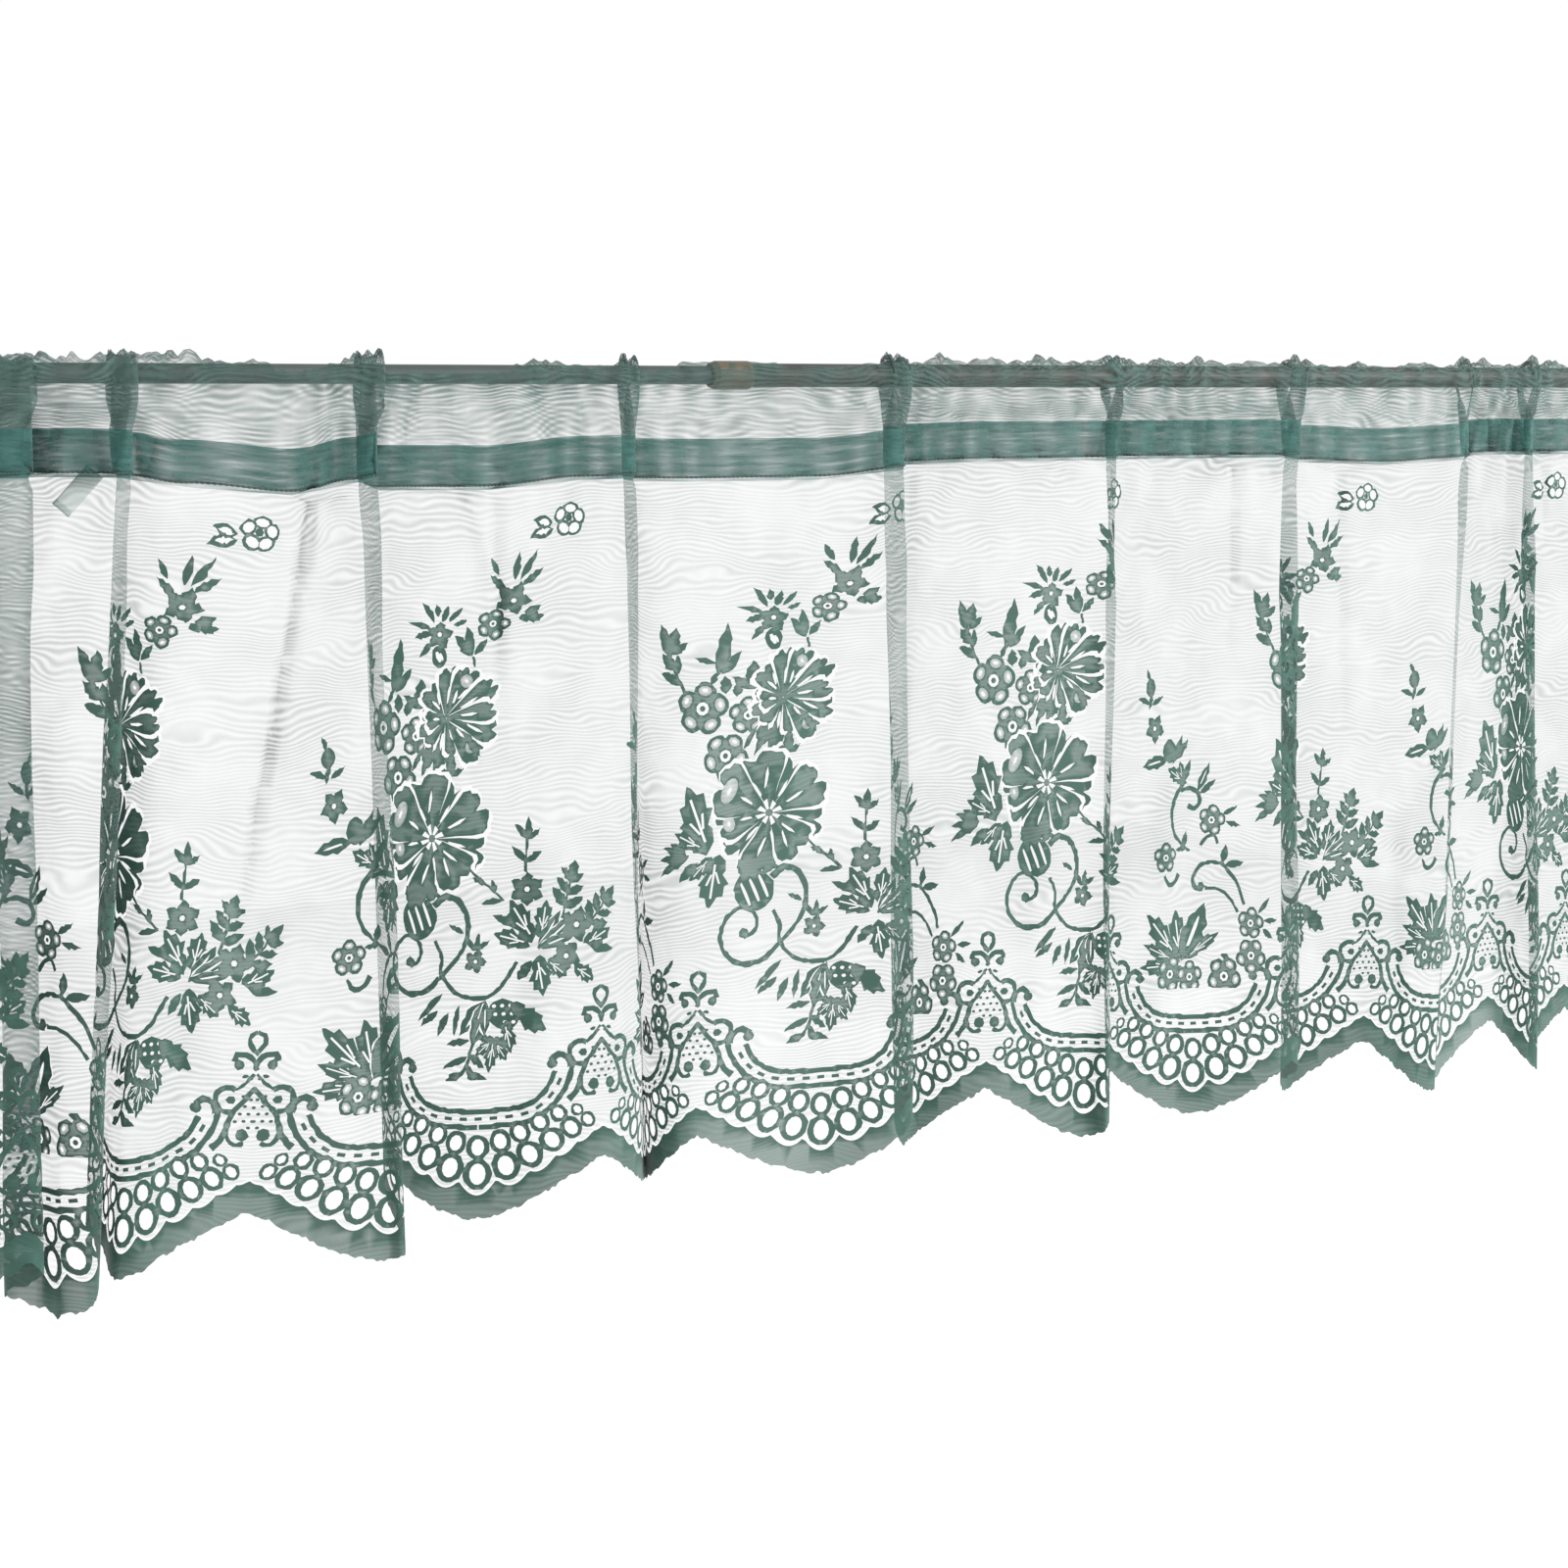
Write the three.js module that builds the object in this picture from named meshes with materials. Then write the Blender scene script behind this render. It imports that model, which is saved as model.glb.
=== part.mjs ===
// A lace cafe curtain gathered on a telescopic tension rod.
// Millimetres, +Z up. The origin is the centre of the left end cap's outer face,
// +X runs along the rod and the room side of the curtain faces -Y.
import * as THREE from "three";

// ---------- driving dimensions ----------
const ROD_LENGTH = 1146;
const INNER_TUBE_RADIUS = 5;
const OUTER_TUBE_RADIUS = 6.5;
const TUBE_WALL = 0.8;
const TUBE_OVERLAP = 120; // length of inner tube inside the outer one
const COLLAR_START = 452;
const COLLAR_LENGTH = 24;
const COLLAR_RADIUS = 7.8;
const CAP_LENGTH = 14;
const CAP_FLOOR = 3;
const CAP_WALL = 2.6;
const FIT_GAP = 0.3; // gap between pieces that touch on the real rod
const ROUND_SIDES = 24;

const REPEAT = 265; // flat width of one pattern repeat, two scallops
const FLAT_DROP = 400; // flat height from the heading stitch line to a scallop's low point
const HEM_LEVEL = 450; // scallop low point below the rod's axis
const SCALLOP_DEPTH = 35;
const BAND_HEIGHT = 21; // turned-in hem of the rod pocket
const STITCH_SLACK = 58; // stitch line below the rod's axis where the pocket is pulled smooth
const STITCH_LIFT = 11; // how much a full gather lifts it
const RUFFLE_HEIGHT = 4.5; // how much a full gather stands up over the rod
const CLOTH = 1.2;
const BAND = 2.4;
const POCKET_CLEARANCE = 0.6;
const POCKET_LOW = 13; // level below the axis where the pocket's sides have left the rod
const POCKET_LOW_WIDTH = 0.6; // half width there, as a share of the half width at the axis
const POCKET_LOW_FOLD = 0.05; // share of the fold depth reached there
const BAND_TOP_FOLD = 0.92; // share reached at the top of the band
const POCKET_APEX = 2; // the pocket's lowest point above the band's top
const RIPPLE_DEPTH = 2;
const RIPPLE_LENGTH = 42; // flat cloth in one small gather on the rod
const COLUMN_STEP = 11; // flat cloth between two columns of vertices
const SHEET_ROWS = [0.3, 0.65, 1]; // shares of the flat drop

const LABEL_SIZE = [10, 0.6, 24];
const LABEL_CENTRE = [112, 1.1, -56];
const LABEL_TILT = THREE.MathUtils.degToRad(42);

// One row for each line that the folds follow from the stitch line down to the hem.
// flat: place across the flat cloth in repeats; x, y: where that line hangs, in plan;
// gather: how tightly the pocket is bunched there. A fold is a crest towards the room,
// a valley behind it and the turn where the cloth comes out again.
const FOLD_LINES = [
  // kind, flatTop, flatHem, xTop, yTop, xHem, yHem, gather
  ["edge", 0.11, 0.11, 38, 0, 38, -6, 1],
  ["crest", 0.35, 0.28, 86, -12, 80, -24, 1],
  ["valley", 0.46, 0.4, 72, 8, 70, 6, 1],
  ["turn", 0.56, 0.46, 87, 6, 85, 0, 1],
  ["belly", 0.66, 0.52, 105, -2, 91, -14, 1],
  ["crest", 0.8, 0.585, 133, -12, 106, -22, 0.95],
  ["valley", 0.87, 0.765, 130, 5, 112, 26, 0.9],
  ["turn", 0.95, 0.86, 139, 5, 118, 14, 0.8],
  ["belly", 1.06, 1, 161, 0, 127, -6, 0.45],
  ["belly", 1.25, 1.25, 209, -2, 192, -12, 0],
  ["belly", 1.41, 1.5, 246, -8, 254, -26, 0.5],
  ["crest", 1.47, 1.54, 257, -13, 260, -30, 0.7],
  ["valley", 1.58, 1.7, 255, 6, 267, 14, 0.5],
  ["turn", 1.74, 1.84, 266, 7, 279, 18, 0.1],
  ["belly", 2, 2, 322, 0, 313, 2, 0.05],
  ["belly", 2.22, 2.25, 372, -6, 375, -24, 0.45],
  ["crest", 2.35, 2.38, 401, -10, 400, -12, 0.5],
  ["valley", 2.47, 2.5, 403, 6, 421, 20, 0.4],
  ["turn", 2.6, 2.62, 409, 2, 417, -4, 0.3],
  ["belly", 2.75, 2.75, 446, -2, 437, -20, 0.25],
  ["belly", 3, 3, 517, -5, 511, -18, 0.25],
  ["crest", 3.2, 3.21, 567, -14, 562, -34, 0.7],
  ["valley", 3.34, 3.36, 566, 4, 577, 8, 0.8],
  ["turn", 3.5, 3.56, 582, 6, 595, 18, 0.9],
  ["belly", 3.72, 3.75, 630, 0, 632, -2, 1],
  ["belly", 3.98, 4, 698, -6, 692, -18, 1],
  ["crest", 4.05, 4.08, 716, -11, 703, -28, 1],
  ["valley", 4.12, 4.19, 720, 3, 720, 0, 1],
  ["turn", 4.21, 4.3, 729, 4, 732, 6, 1],
  ["belly", 4.5, 4.5, 784, -2, 783, -6, 1],
  ["crest", 4.82, 4.76, 853, -12, 835, -32, 1],
  ["valley", 4.9, 4.92, 853, 5, 859, 10, 0.9],
  ["turn", 4.98, 5.08, 869, 5, 876, 14, 0.65],
  ["belly", 5.24, 5.25, 929, -1, 910, -6, 0.45],
  ["crest", 5.49, 5.5, 982, -10, 946, -28, 0.7],
  ["valley", 5.57, 5.56, 990, 4, 958, -18, 0.8],
  ["turn", 5.65, 5.64, 1000, 4, 979, -12, 0.9],
  ["belly", 5.8, 5.78, 1024, -2, 1027, -6, 0.95],
  ["crest", 5.98, 5.98, 1046, -11, 1055, -20, 0.9],
  ["valley", 6.05, 6.08, 1052, 4, 1070, -2, 0.9],
  ["edge", 6.28, 6.28, 1108, 0, 1108, -4, 0.9],
].map(([kind, flatTop, flatHem, xTop, yTop, xHem, yHem, gather]) => ({
  kind, flatTop, flatHem, xTop, yTop, xHem, yHem, gather,
}));

// ---------- helpers ----------
const lerp = THREE.MathUtils.lerp;

function material(color, roughness, metalness = 0) {
  return new THREE.MeshStandardMaterial({ color, roughness, metalness });
}

function namedMesh(name, geometry, look) {
  const mesh = new THREE.Mesh(geometry, look);
  mesh.name = name;
  return mesh;
}

// Smooth curve through one column of FOLD_LINES, spaced by another column.
function through(values, stations, row, share) {
  const slope = (i) => {
    const low = Math.max(i - 1, 0);
    const high = Math.min(i + 1, values.length - 1);
    return (values[high] - values[low]) / (stations[high] - stations[low]);
  };
  const span = stations[row + 1] - stations[row];
  const s2 = share * share;
  const s3 = s2 * share;
  return (2 * s3 - 3 * s2 + 1) * values[row] + (s3 - 2 * s2 + share) * span * slope(row) +
    (3 * s2 - 2 * s3) * values[row + 1] + (s3 - s2) * span * slope(row + 1);
}

// ---------- the cloth's drape ----------
const columnOf = (name) => FOLD_LINES.map((line) => line[name]);
const flatTops = columnOf("flatTop");
const flatHems = columnOf("flatHem");
const xTops = columnOf("xTop");
const yTops = columnOf("yTop");
const xHems = columnOf("xHem");
const yHems = columnOf("yHem");
const gathers = columnOf("gather");

// On the rod the cloth is spread evenly between the lines that lie straight on it.
const onRod = FOLD_LINES.filter((line) => line.kind === "edge" || line.kind === "belly");

function rodX(flat) {
  const next = onRod.findIndex((line, i) => i > 0 && flat <= line.flatTop + 1e-9);
  const a = onRod[next - 1];
  const b = onRod[next];
  return lerp(a.xTop, b.xTop, (flat - a.flatTop) / (b.flatTop - a.flatTop));
}

// Plan place of the cloth's middle: fold 0 is the rod, 1 the stitch line; hang 1 is the hem.
function plan(place, fold, hang) {
  const row = Math.min(Math.floor(place), FOLD_LINES.length - 2);
  const share = place - row;
  const xTop = through(xTops, flatTops, row, share);
  const yTop = through(yTops, flatTops, row, share);
  const xHem = through(xHems, flatHems, row, share);
  const yHem = through(yHems, flatHems, row, share);
  const xRod = rodX(lerp(flatTops[row], flatTops[row + 1], share));
  return new THREE.Vector2(
    lerp(lerp(xRod, xTop, fold), xHem, hang),
    lerp(yTop * fold, yHem, hang),
  );
}

// Unit vector across the cloth, towards the room.
function facing(place, fold, hang) {
  const step = 0.05;
  const last = FOLD_LINES.length - 1;
  const before = plan(Math.max(place - step, 0), fold, hang);
  const after = plan(Math.min(place + step, last), fold, hang);
  const along = after.sub(before).normalize();
  return new THREE.Vector2(along.y, -along.x);
}

function tubeRadiusAt(x) {
  const reach = 14;
  if (x < COLLAR_START - reach) return INNER_TUBE_RADIUS;
  return x > COLLAR_START + COLLAR_LENGTH + reach ? OUTER_TUBE_RADIUS : COLLAR_RADIUS;
}

function scallopDrop(flat) {
  return FLAT_DROP - SCALLOP_DEPTH * (0.5 - 0.5 * Math.cos(4 * Math.PI * flat));
}

// The cloth's section at one column, as an outer loop and the loop of the rod pocket.
// A point is given by how far it stands off the middle towards the room, and its height.
function section(place) {
  const row = Math.min(Math.floor(place), FOLD_LINES.length - 2);
  const share = place - row;
  const gather = lerp(gathers[row], gathers[row + 1], share);
  const flatTop = lerp(flatTops[row], flatTops[row + 1], share);
  const flatHem = lerp(flatHems[row], flatHems[row + 1], share);
  const stitch = STITCH_SLACK - STITCH_LIFT * gather;
  const drop = scallopDrop(flatHem);
  const wave = 0.5 + 0.5 * Math.sin((2 * Math.PI * flatTop * REPEAT) / RIPPLE_LENGTH);
  const tunnel = tubeRadiusAt(rodX(flatTop)) + POCKET_CLEARANCE;
  const side = tunnel + gather * wave * RIPPLE_DEPTH;
  const crown = tunnel + gather * (RUFFLE_HEIGHT - wave * RIPPLE_DEPTH);

  const point = (off, height, fold, hang) => {
    const middle = plan(place, fold, hang);
    const out = facing(place, fold, hang);
    return new THREE.Vector3(middle.x + out.x * off, middle.y + out.y * off, height);
  };
  const level = (part) => -lerp(stitch, HEM_LEVEL, (part * drop) / FLAT_DROP);
  const sheet = (sign) => SHEET_ROWS.map((part) =>
    point((sign * CLOTH) / 2, level(part), 1, (part * drop) / FLAT_DROP));
  const heading = (sign) => [
    point((sign * CLOTH) / 2, -stitch - CLOTH, 1, 0),
    point((sign * BAND) / 2, -stitch, 1, 0),
    point((sign * BAND) / 2, BAND_HEIGHT - stitch, BAND_TOP_FOLD, 0),
    point(sign * (side * POCKET_LOW_WIDTH + CLOTH), -POCKET_LOW, POCKET_LOW_FOLD, 0),
  ];
  const arch = (width, height, angles) => angles.map((degrees) => {
    const angle = THREE.MathUtils.degToRad(degrees);
    return point(width * Math.cos(angle), height * Math.sin(angle), 0, 0);
  });

  const over = [0, 30, 60, 90, 120, 150, 180];
  const outer = [
    ...sheet(1).reverse(),
    ...heading(1),
    ...arch(side + CLOTH, crown + CLOTH, over),
    ...heading(-1).reverse(),
    ...sheet(-1),
  ];
  const inner = [
    point(0, BAND_HEIGHT + POCKET_APEX - stitch, BAND_TOP_FOLD, 0),
    point(-side * POCKET_LOW_WIDTH, -POCKET_LOW, POCKET_LOW_FOLD, 0),
    ...arch(side, crown, over.toReversed()),
    point(side * POCKET_LOW_WIDTH, -POCKET_LOW, POCKET_LOW_FOLD, 0),
  ];
  return { outer, inner };
}

function columnPlaces() {
  const places = [0];
  for (let row = 0; row < FOLD_LINES.length - 1; row += 1) {
    const width = Math.max(flatTops[row + 1] - flatTops[row], flatHems[row + 1] - flatHems[row]);
    const steps = Math.max(2, Math.round((width * REPEAT) / COLUMN_STEP));
    for (let i = 1; i <= steps; i += 1) places.push(row + i / steps);
  }
  return places;
}

// Closes one side edge of the cloth with a flat ring around the pocket.
function edgeFaces({ outer, inner }, first, flip) {
  const flat = (point) => new THREE.Vector2(point.y, point.z);
  const loops = [...outer, ...inner].map(flat);
  const triangles = THREE.ShapeUtils.triangulateShape(outer.map(flat), [inner.map(flat)]);
  return triangles.flatMap(([a, b, c]) => {
    const turn = loops[b].clone().sub(loops[a]).cross(loops[c].clone().sub(loops[a]));
    const ordered = turn > 0 !== flip ? [a, b, c] : [a, c, b];
    return ordered.map((corner) => first + corner);
  });
}

function curtainGeometry() {
  const sections = columnPlaces().map(section);
  const outerCount = sections[0].outer.length;
  const innerCount = sections[0].inner.length;
  const stride = outerCount + innerCount;
  const indices = [];
  for (let column = 0; column < sections.length - 1; column += 1) {
    const joinLoop = (start, count) => {
      for (let i = 0; i < count; i += 1) {
        const a = column * stride + start + i;
        const b = column * stride + start + ((i + 1) % count);
        indices.push(a, a + stride, b, b, a + stride, b + stride);
      }
    };
    joinLoop(0, outerCount);
    joinLoop(outerCount, innerCount);
  }
  const lastStart = (sections.length - 1) * stride;
  indices.push(...edgeFaces(sections[0], 0, true));
  indices.push(...edgeFaces(sections.at(-1), lastStart, false));

  const points = sections.flatMap(({ outer, inner }) => [...outer, ...inner]);
  const geometry = new THREE.BufferGeometry().setFromPoints(points);
  geometry.setIndex(indices);
  geometry.computeVertexNormals();
  return geometry;
}

// ---------- the rod ----------
// A ring around the rod's axis from a closed profile of [along, radius] points, bore last.
function turned(profile) {
  const outline = profile.map(([along, radius]) => new THREE.Vector2(radius, along));
  const geometry = new THREE.LatheGeometry([...outline, outline[0]], ROUND_SIDES);
  return geometry.rotateZ(-Math.PI / 2);
}

function tube(start, end, radius) {
  const bore = radius - TUBE_WALL;
  return turned([[start, radius], [end, radius], [end, bore], [start, bore]]);
}

function collar() {
  const end = COLLAR_START + COLLAR_LENGTH;
  const bore = INNER_TUBE_RADIUS + FIT_GAP;
  const lip = bore + 1.2;
  const socket = OUTER_TUBE_RADIUS + FIT_GAP;
  const chamfer = 3;
  const shoulder = COLLAR_START + COLLAR_LENGTH / 2;
  return turned([
    [COLLAR_START, lip],
    [COLLAR_START + chamfer, COLLAR_RADIUS],
    [end - 1, COLLAR_RADIUS],
    [end, COLLAR_RADIUS - 0.4],
    [end, socket],
    [shoulder, socket],
    [shoulder, bore],
    [COLLAR_START, bore],
  ]);
}

// A rubber cup pushed over a tube's end: `face` is its flat outer face, `inward` +1 or -1.
function endCap(face, inward, tubeRadius) {
  const radius = tubeRadius + CAP_WALL + 1;
  const mouth = tubeRadius + CAP_WALL - 0.6;
  const socket = tubeRadius + FIT_GAP;
  const floor = face + inward * CAP_FLOOR;
  const rim = face + inward * CAP_LENGTH;
  const outline = [
    [face, 0],
    [face, radius],
    [face + inward * CAP_FLOOR, radius],
    [rim, mouth],
    [rim, socket],
    [floor, socket],
    [floor, 0],
  ].map(([along, r]) => new THREE.Vector2(r, along));
  const points = inward > 0 ? outline : outline.reverse();
  return new THREE.LatheGeometry(points, ROUND_SIDES).rotateZ(-Math.PI / 2);
}

// ---------- the model ----------
const laceLook = material(0x7a9a92, 0.9);
const innerTubeLook = material(0x6b746c, 0.45, 0.3);
const outerTubeLook = material(0x4a4238, 0.4, 0.3);
const collarLook = material(0x5a5640, 0.5);
const rubberLook = material(0x2c2b29, 0.8);
const labelLook = material(0xd6dcdb, 0.85);

const outerTubeStart = COLLAR_START + COLLAR_LENGTH / 2 + FIT_GAP;
const capSeat = CAP_FLOOR + FIT_GAP;

const curtain = new THREE.Group();
curtain.add(namedMesh("curtain_panel", curtainGeometry(), laceLook));
curtain.add(namedMesh(
  "rod_inner_tube", tube(capSeat, outerTubeStart + TUBE_OVERLAP, INNER_TUBE_RADIUS), innerTubeLook));
curtain.add(namedMesh(
  "rod_outer_tube", tube(outerTubeStart, ROD_LENGTH - capSeat, OUTER_TUBE_RADIUS), outerTubeLook));
curtain.add(namedMesh("rod_collar", collar(), collarLook));
curtain.add(namedMesh("end_cap_left", endCap(0, 1, INNER_TUBE_RADIUS), rubberLook));
curtain.add(namedMesh("end_cap_right", endCap(ROD_LENGTH, -1, OUTER_TUBE_RADIUS), rubberLook));

const label = namedMesh("care_label", new THREE.BoxGeometry(...LABEL_SIZE), labelLook);
label.position.set(...LABEL_CENTRE);
label.rotation.y = LABEL_TILT;
curtain.add(label);

export default curtain;
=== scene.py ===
"""A lace cafe curtain gathered on a tension rod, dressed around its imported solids. Metres."""

import math
import random

import bpy
import numpy as np
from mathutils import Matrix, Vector
from mathutils.geometry import delaunay_2d_cdt


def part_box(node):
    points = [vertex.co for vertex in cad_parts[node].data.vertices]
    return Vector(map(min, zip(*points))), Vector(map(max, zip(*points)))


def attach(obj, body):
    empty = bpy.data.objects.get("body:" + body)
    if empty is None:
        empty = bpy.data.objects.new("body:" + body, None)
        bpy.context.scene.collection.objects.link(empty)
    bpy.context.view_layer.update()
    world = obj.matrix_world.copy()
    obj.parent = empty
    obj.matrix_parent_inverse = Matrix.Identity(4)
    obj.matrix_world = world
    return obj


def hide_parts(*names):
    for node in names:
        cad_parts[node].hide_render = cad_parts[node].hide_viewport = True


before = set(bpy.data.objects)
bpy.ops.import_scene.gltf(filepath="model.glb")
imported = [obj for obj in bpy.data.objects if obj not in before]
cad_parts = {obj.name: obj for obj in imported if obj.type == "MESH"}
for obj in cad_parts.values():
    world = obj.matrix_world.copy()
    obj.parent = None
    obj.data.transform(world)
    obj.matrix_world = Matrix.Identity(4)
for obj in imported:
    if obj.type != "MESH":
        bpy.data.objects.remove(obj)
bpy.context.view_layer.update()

scene = bpy.context.scene


# ---------- Camera ----------
# It stands in front of the rod's left end at rod height and looks across the curtain,
# with a small drop and a small lens shift that keep the hanging folds upright.
CAMERA_PLACE = (-0.1896, -1.2256, -0.008)
CAMERA_TURN = 29.3          # degrees to the right of straight on
CAMERA_DROP = 4.5           # degrees below level
CAMERA_LENS = 58.5          # millimetres on a 36 mm sensor
CAMERA_SHIFT = -0.1234

eye = bpy.data.cameras.new("camera")
eye.lens = CAMERA_LENS
eye.sensor_width = 36
eye.shift_y = CAMERA_SHIFT
camera = bpy.data.objects.new("camera", eye)
camera.location = CAMERA_PLACE
camera.rotation_euler = (math.radians(90 - CAMERA_DROP), 0, math.radians(-CAMERA_TURN))
scene.collection.objects.link(camera)
scene.camera = camera


# ---------- Telescopic tubes ----------
# Two thin steel tubes, the left one sliding in the right one: slate stoving enamel on the inner
# tube and brown on the outer one, drawn lengthwise, rubbed thinner where cloth and hands slide.
class Tone:
    """One value in a finish; sums, differences, products and powers of it add Math nodes."""

    def __init__(self, finish, socket):
        self.finish, self.socket = finish, socket

    def math(self, operation, first, second):
        return self.finish.node("ShaderNodeMath", {"operation": operation}, {0: first, 1: second})

    def __add__(self, other):
        return self.math("ADD", self, other)

    def __sub__(self, other):
        return self.math("SUBTRACT", self, other)

    def __rsub__(self, other):
        return self.math("SUBTRACT", other, self)

    def __mul__(self, other):
        return self.math("MULTIPLY", self, other)

    def __pow__(self, other):
        return self.math("POWER", self, other)

    __radd__, __rmul__ = __add__, __mul__

    def wave(self):
        """Its sine, brought to 0 to 1."""
        return self.math("SINE", self, 0) * 0.5 + 0.5


class Finish:
    """A material under way: one Principled shader and the nodes that feed it."""

    def __init__(self, name, **fixed):
        self.material = bpy.data.materials.new(name)
        self.material.use_nodes = True
        self.nodes = self.material.node_tree.nodes
        self.links = self.material.node_tree.links
        self.shader = self.nodes["Principled BSDF"]
        for label, value in fixed.items():
            self.shader.inputs[label.replace("_", " ")].default_value = value

    def fill(self, node, inputs):
        for label, value in inputs.items():
            if isinstance(value, Tone):
                self.links.new(value.socket, node.inputs[label])
            else:
                node.inputs[label].default_value = value

    def node(self, kind, settings, inputs, output=0):
        node = self.nodes.new(kind)
        for label, value in settings.items():
            setattr(node, label, value)
        self.fill(node, inputs)
        return Tone(self, node.outputs[output])

    def place(self):
        return self.node("ShaderNodeTexCoord", {}, {}, "Object")

    def axis(self, vector, letter):
        return self.node("ShaderNodeSeparateXYZ", {}, {"Vector": vector}, letter)

    def stretch(self, vector, scale):
        return self.node("ShaderNodeVectorMath", {"operation": "MULTIPLY"}, {0: vector, 1: scale})

    def noise(self, vector, scale, detail, roughness=0.5):
        return self.node("ShaderNodeTexNoise", {}, {
            "Vector": vector, "Scale": scale, "Detail": detail, "Roughness": roughness}, "Fac")

    def between(self, share, low, high):
        return self.node("ShaderNodeMapRange", {"clamp": True}, {
            "Value": share, "From Min": low, "From Max": high})

    def mix(self, share, first, second):
        return self.node("ShaderNodeMix", {"data_type": "RGBA"}, {
            "Factor": share, 6: first, 7: second}, 2)

    def bump(self, height, distance, strength):
        return self.node("ShaderNodeBump", {}, {
            "Height": height, "Distance": distance, "Strength": strength})

    def dress(self, **inputs):
        self.fill(self.shader, {label.replace("_", " "): v for label, v in inputs.items()})
        return self.material


def give(name, material):
    """A CAD solid keeps its shape and takes this finish."""
    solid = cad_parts[name]
    solid.data.materials.clear()
    solid.data.materials.append(material)
    for face in solid.data.polygons:
        face.material_index = 0


def enamel(name, paint, worn, gloss):
    finish = Finish(name, Metallic=0.1, Coat_Weight=0.12, Coat_Roughness=0.4)
    drawn = finish.noise(finish.stretch(finish.place(), (5, 420, 420)), 1.0, 2.0)
    cloudy = finish.noise(finish.place(), 16.0, 3.0, 0.6)
    rubbed = finish.between(cloudy + drawn * 0.3, 0.6, 0.86)
    return finish.dress(
        Base_Color=finish.mix(rubbed, paint, worn),
        Roughness=gloss + drawn * 0.12,
        Normal=finish.bump(drawn, 0.00003, 0.5))


give("rod_inner_tube", enamel(
    "slate_enamel", (0.035, 0.052, 0.048, 1), (0.07, 0.09, 0.084, 1), 0.5))
give("rod_outer_tube", enamel(
    "brown_enamel", (0.026, 0.02, 0.017, 1), (0.055, 0.046, 0.039, 1), 0.5))


# ---------- Collar ----------
# The olive-brown moulded ring pressed on the mouth of the outer tube. Fine moulding grain,
# and paler in cloudy patches.
collar_finish = Finish("collar_plastic", Coat_Weight=0.1)
grain = collar_finish.noise(collar_finish.place(), 900.0, 2.0)
cloud = collar_finish.noise(collar_finish.place(), 70.0, 3.0)
give("rod_collar", collar_finish.dress(
    Base_Color=collar_finish.mix(cloud, (0.06, 0.045, 0.024, 1), (0.1, 0.08, 0.048, 1)),
    Roughness=0.42 + grain * 0.2,
    Normal=collar_finish.bump(grain, 0.00012, 0.6)))


# ---------- End caps ----------
# Soft rubber cups over both tube ends, which grip the window frame: black-brown, matt,
# with faint rings from the mould and pale dust in them.
def rubber(name):
    finish = Finish(name)
    rings = (finish.axis(finish.place(), "X") * 3100.0).wave()
    grain = finish.noise(finish.place(), 700.0, 3.0)
    dust = finish.between(finish.noise(finish.place(), 160.0, 4.0) + rings * 0.1, 0.52, 0.75)
    return finish.dress(
        Base_Color=finish.mix(dust, (0.02, 0.018, 0.017, 1), (0.075, 0.07, 0.064, 1)),
        Roughness=0.62 + grain * 0.22,
        Normal=finish.bump(rings * 0.6 + grain * 0.5, 0.0002, 0.6))


rubber_finish = rubber("cap_rubber")
give("end_cap_left", rubber_finish)
give("end_cap_right", rubber_finish)


# ---------- Lace curtain ----------
# One width of sage-green machine lace: a fine net with roses, sprays and a scalloped border in it.
# Its top is turned over the rod, tucked in and stitched through below a pocket, and the cloth is
# pushed together on the rod, so that it hangs in uneven folds. Flat sizes are in millimetres.
MM = 0.001
REPEAT = 265.0              # the pattern's width
FLAT_DROP = 400.0           # from the stitch line to the scallops' lowest points
HEM_LEVEL = 450.0           # those points below the rod's axis
SCALLOP = 33.0              # how far the hem rises between scallops
STITCH_SLACK, STITCH_LIFT = 58.0, 11.0      # the stitch line below the axis; how much a gather lifts it
LAID_OVER = 0.62            # a fold pressed flat on the rod lies this much to its side
SIDE_LEVEL, LOW_LEVEL = 2.0, 13.0   # the pocket's sides below the axis: beside the rod, under it
TUCK_RISE = 20.0            # the turned-in edge's height above the stitch line
SAG = np.array([             # the hem's own level: flat place, how much lower it hangs
    (0.11, 5), (0.7, 4), (0.9, -6), (1.1, -8), (1.25, 0), (1.4, 1), (1.6, -4), (3, -5), (3.5, 0), (4, 1),
    (4.5, 3), (5, 7), (6.28, 10)]).T
BUNCHES = [                 # where the gathers stand up above the rod: flat place, half width, height
    (0.62, 0.3, 2.4), (0.95, 0.12, 3.4), (1.06, 0.05, 3), (1.42, 0.05, 3), (1.5, 0.06, 5.4),
    (1.6, 0.05, 4.6), (1.18, 0.03, 2), (2.12, 0.05, 2.6), (2.36, 0.05, 3.6), (2.5, 0.05, 4.4),
    (3.22, 0.05, 3.4), (3.34, 0.04, 5.2), (3.44, 0.03, 3.2), (3.6, 0.04, 3), (3.72, 0.03, 3.6),
    (3.86, 0.04, 3.4), (4.02, 0.04, 4), (4.2, 0.04, 3.4), (4.36, 0.03, 2.6), (4.5, 0.04, 2.8),
    (4.66, 0.03, 2.4), (4.84, 0.05, 3.6), (4.98, 0.03, 2.6), (5.16, 0.04, 2.2), (5.34, 0.04, 2.8),
    (5.5, 0.05, 3.8), (5.7, 0.05, 3), (5.98, 0.06, 3.8), (6.16, 0.04, 3)]
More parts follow.
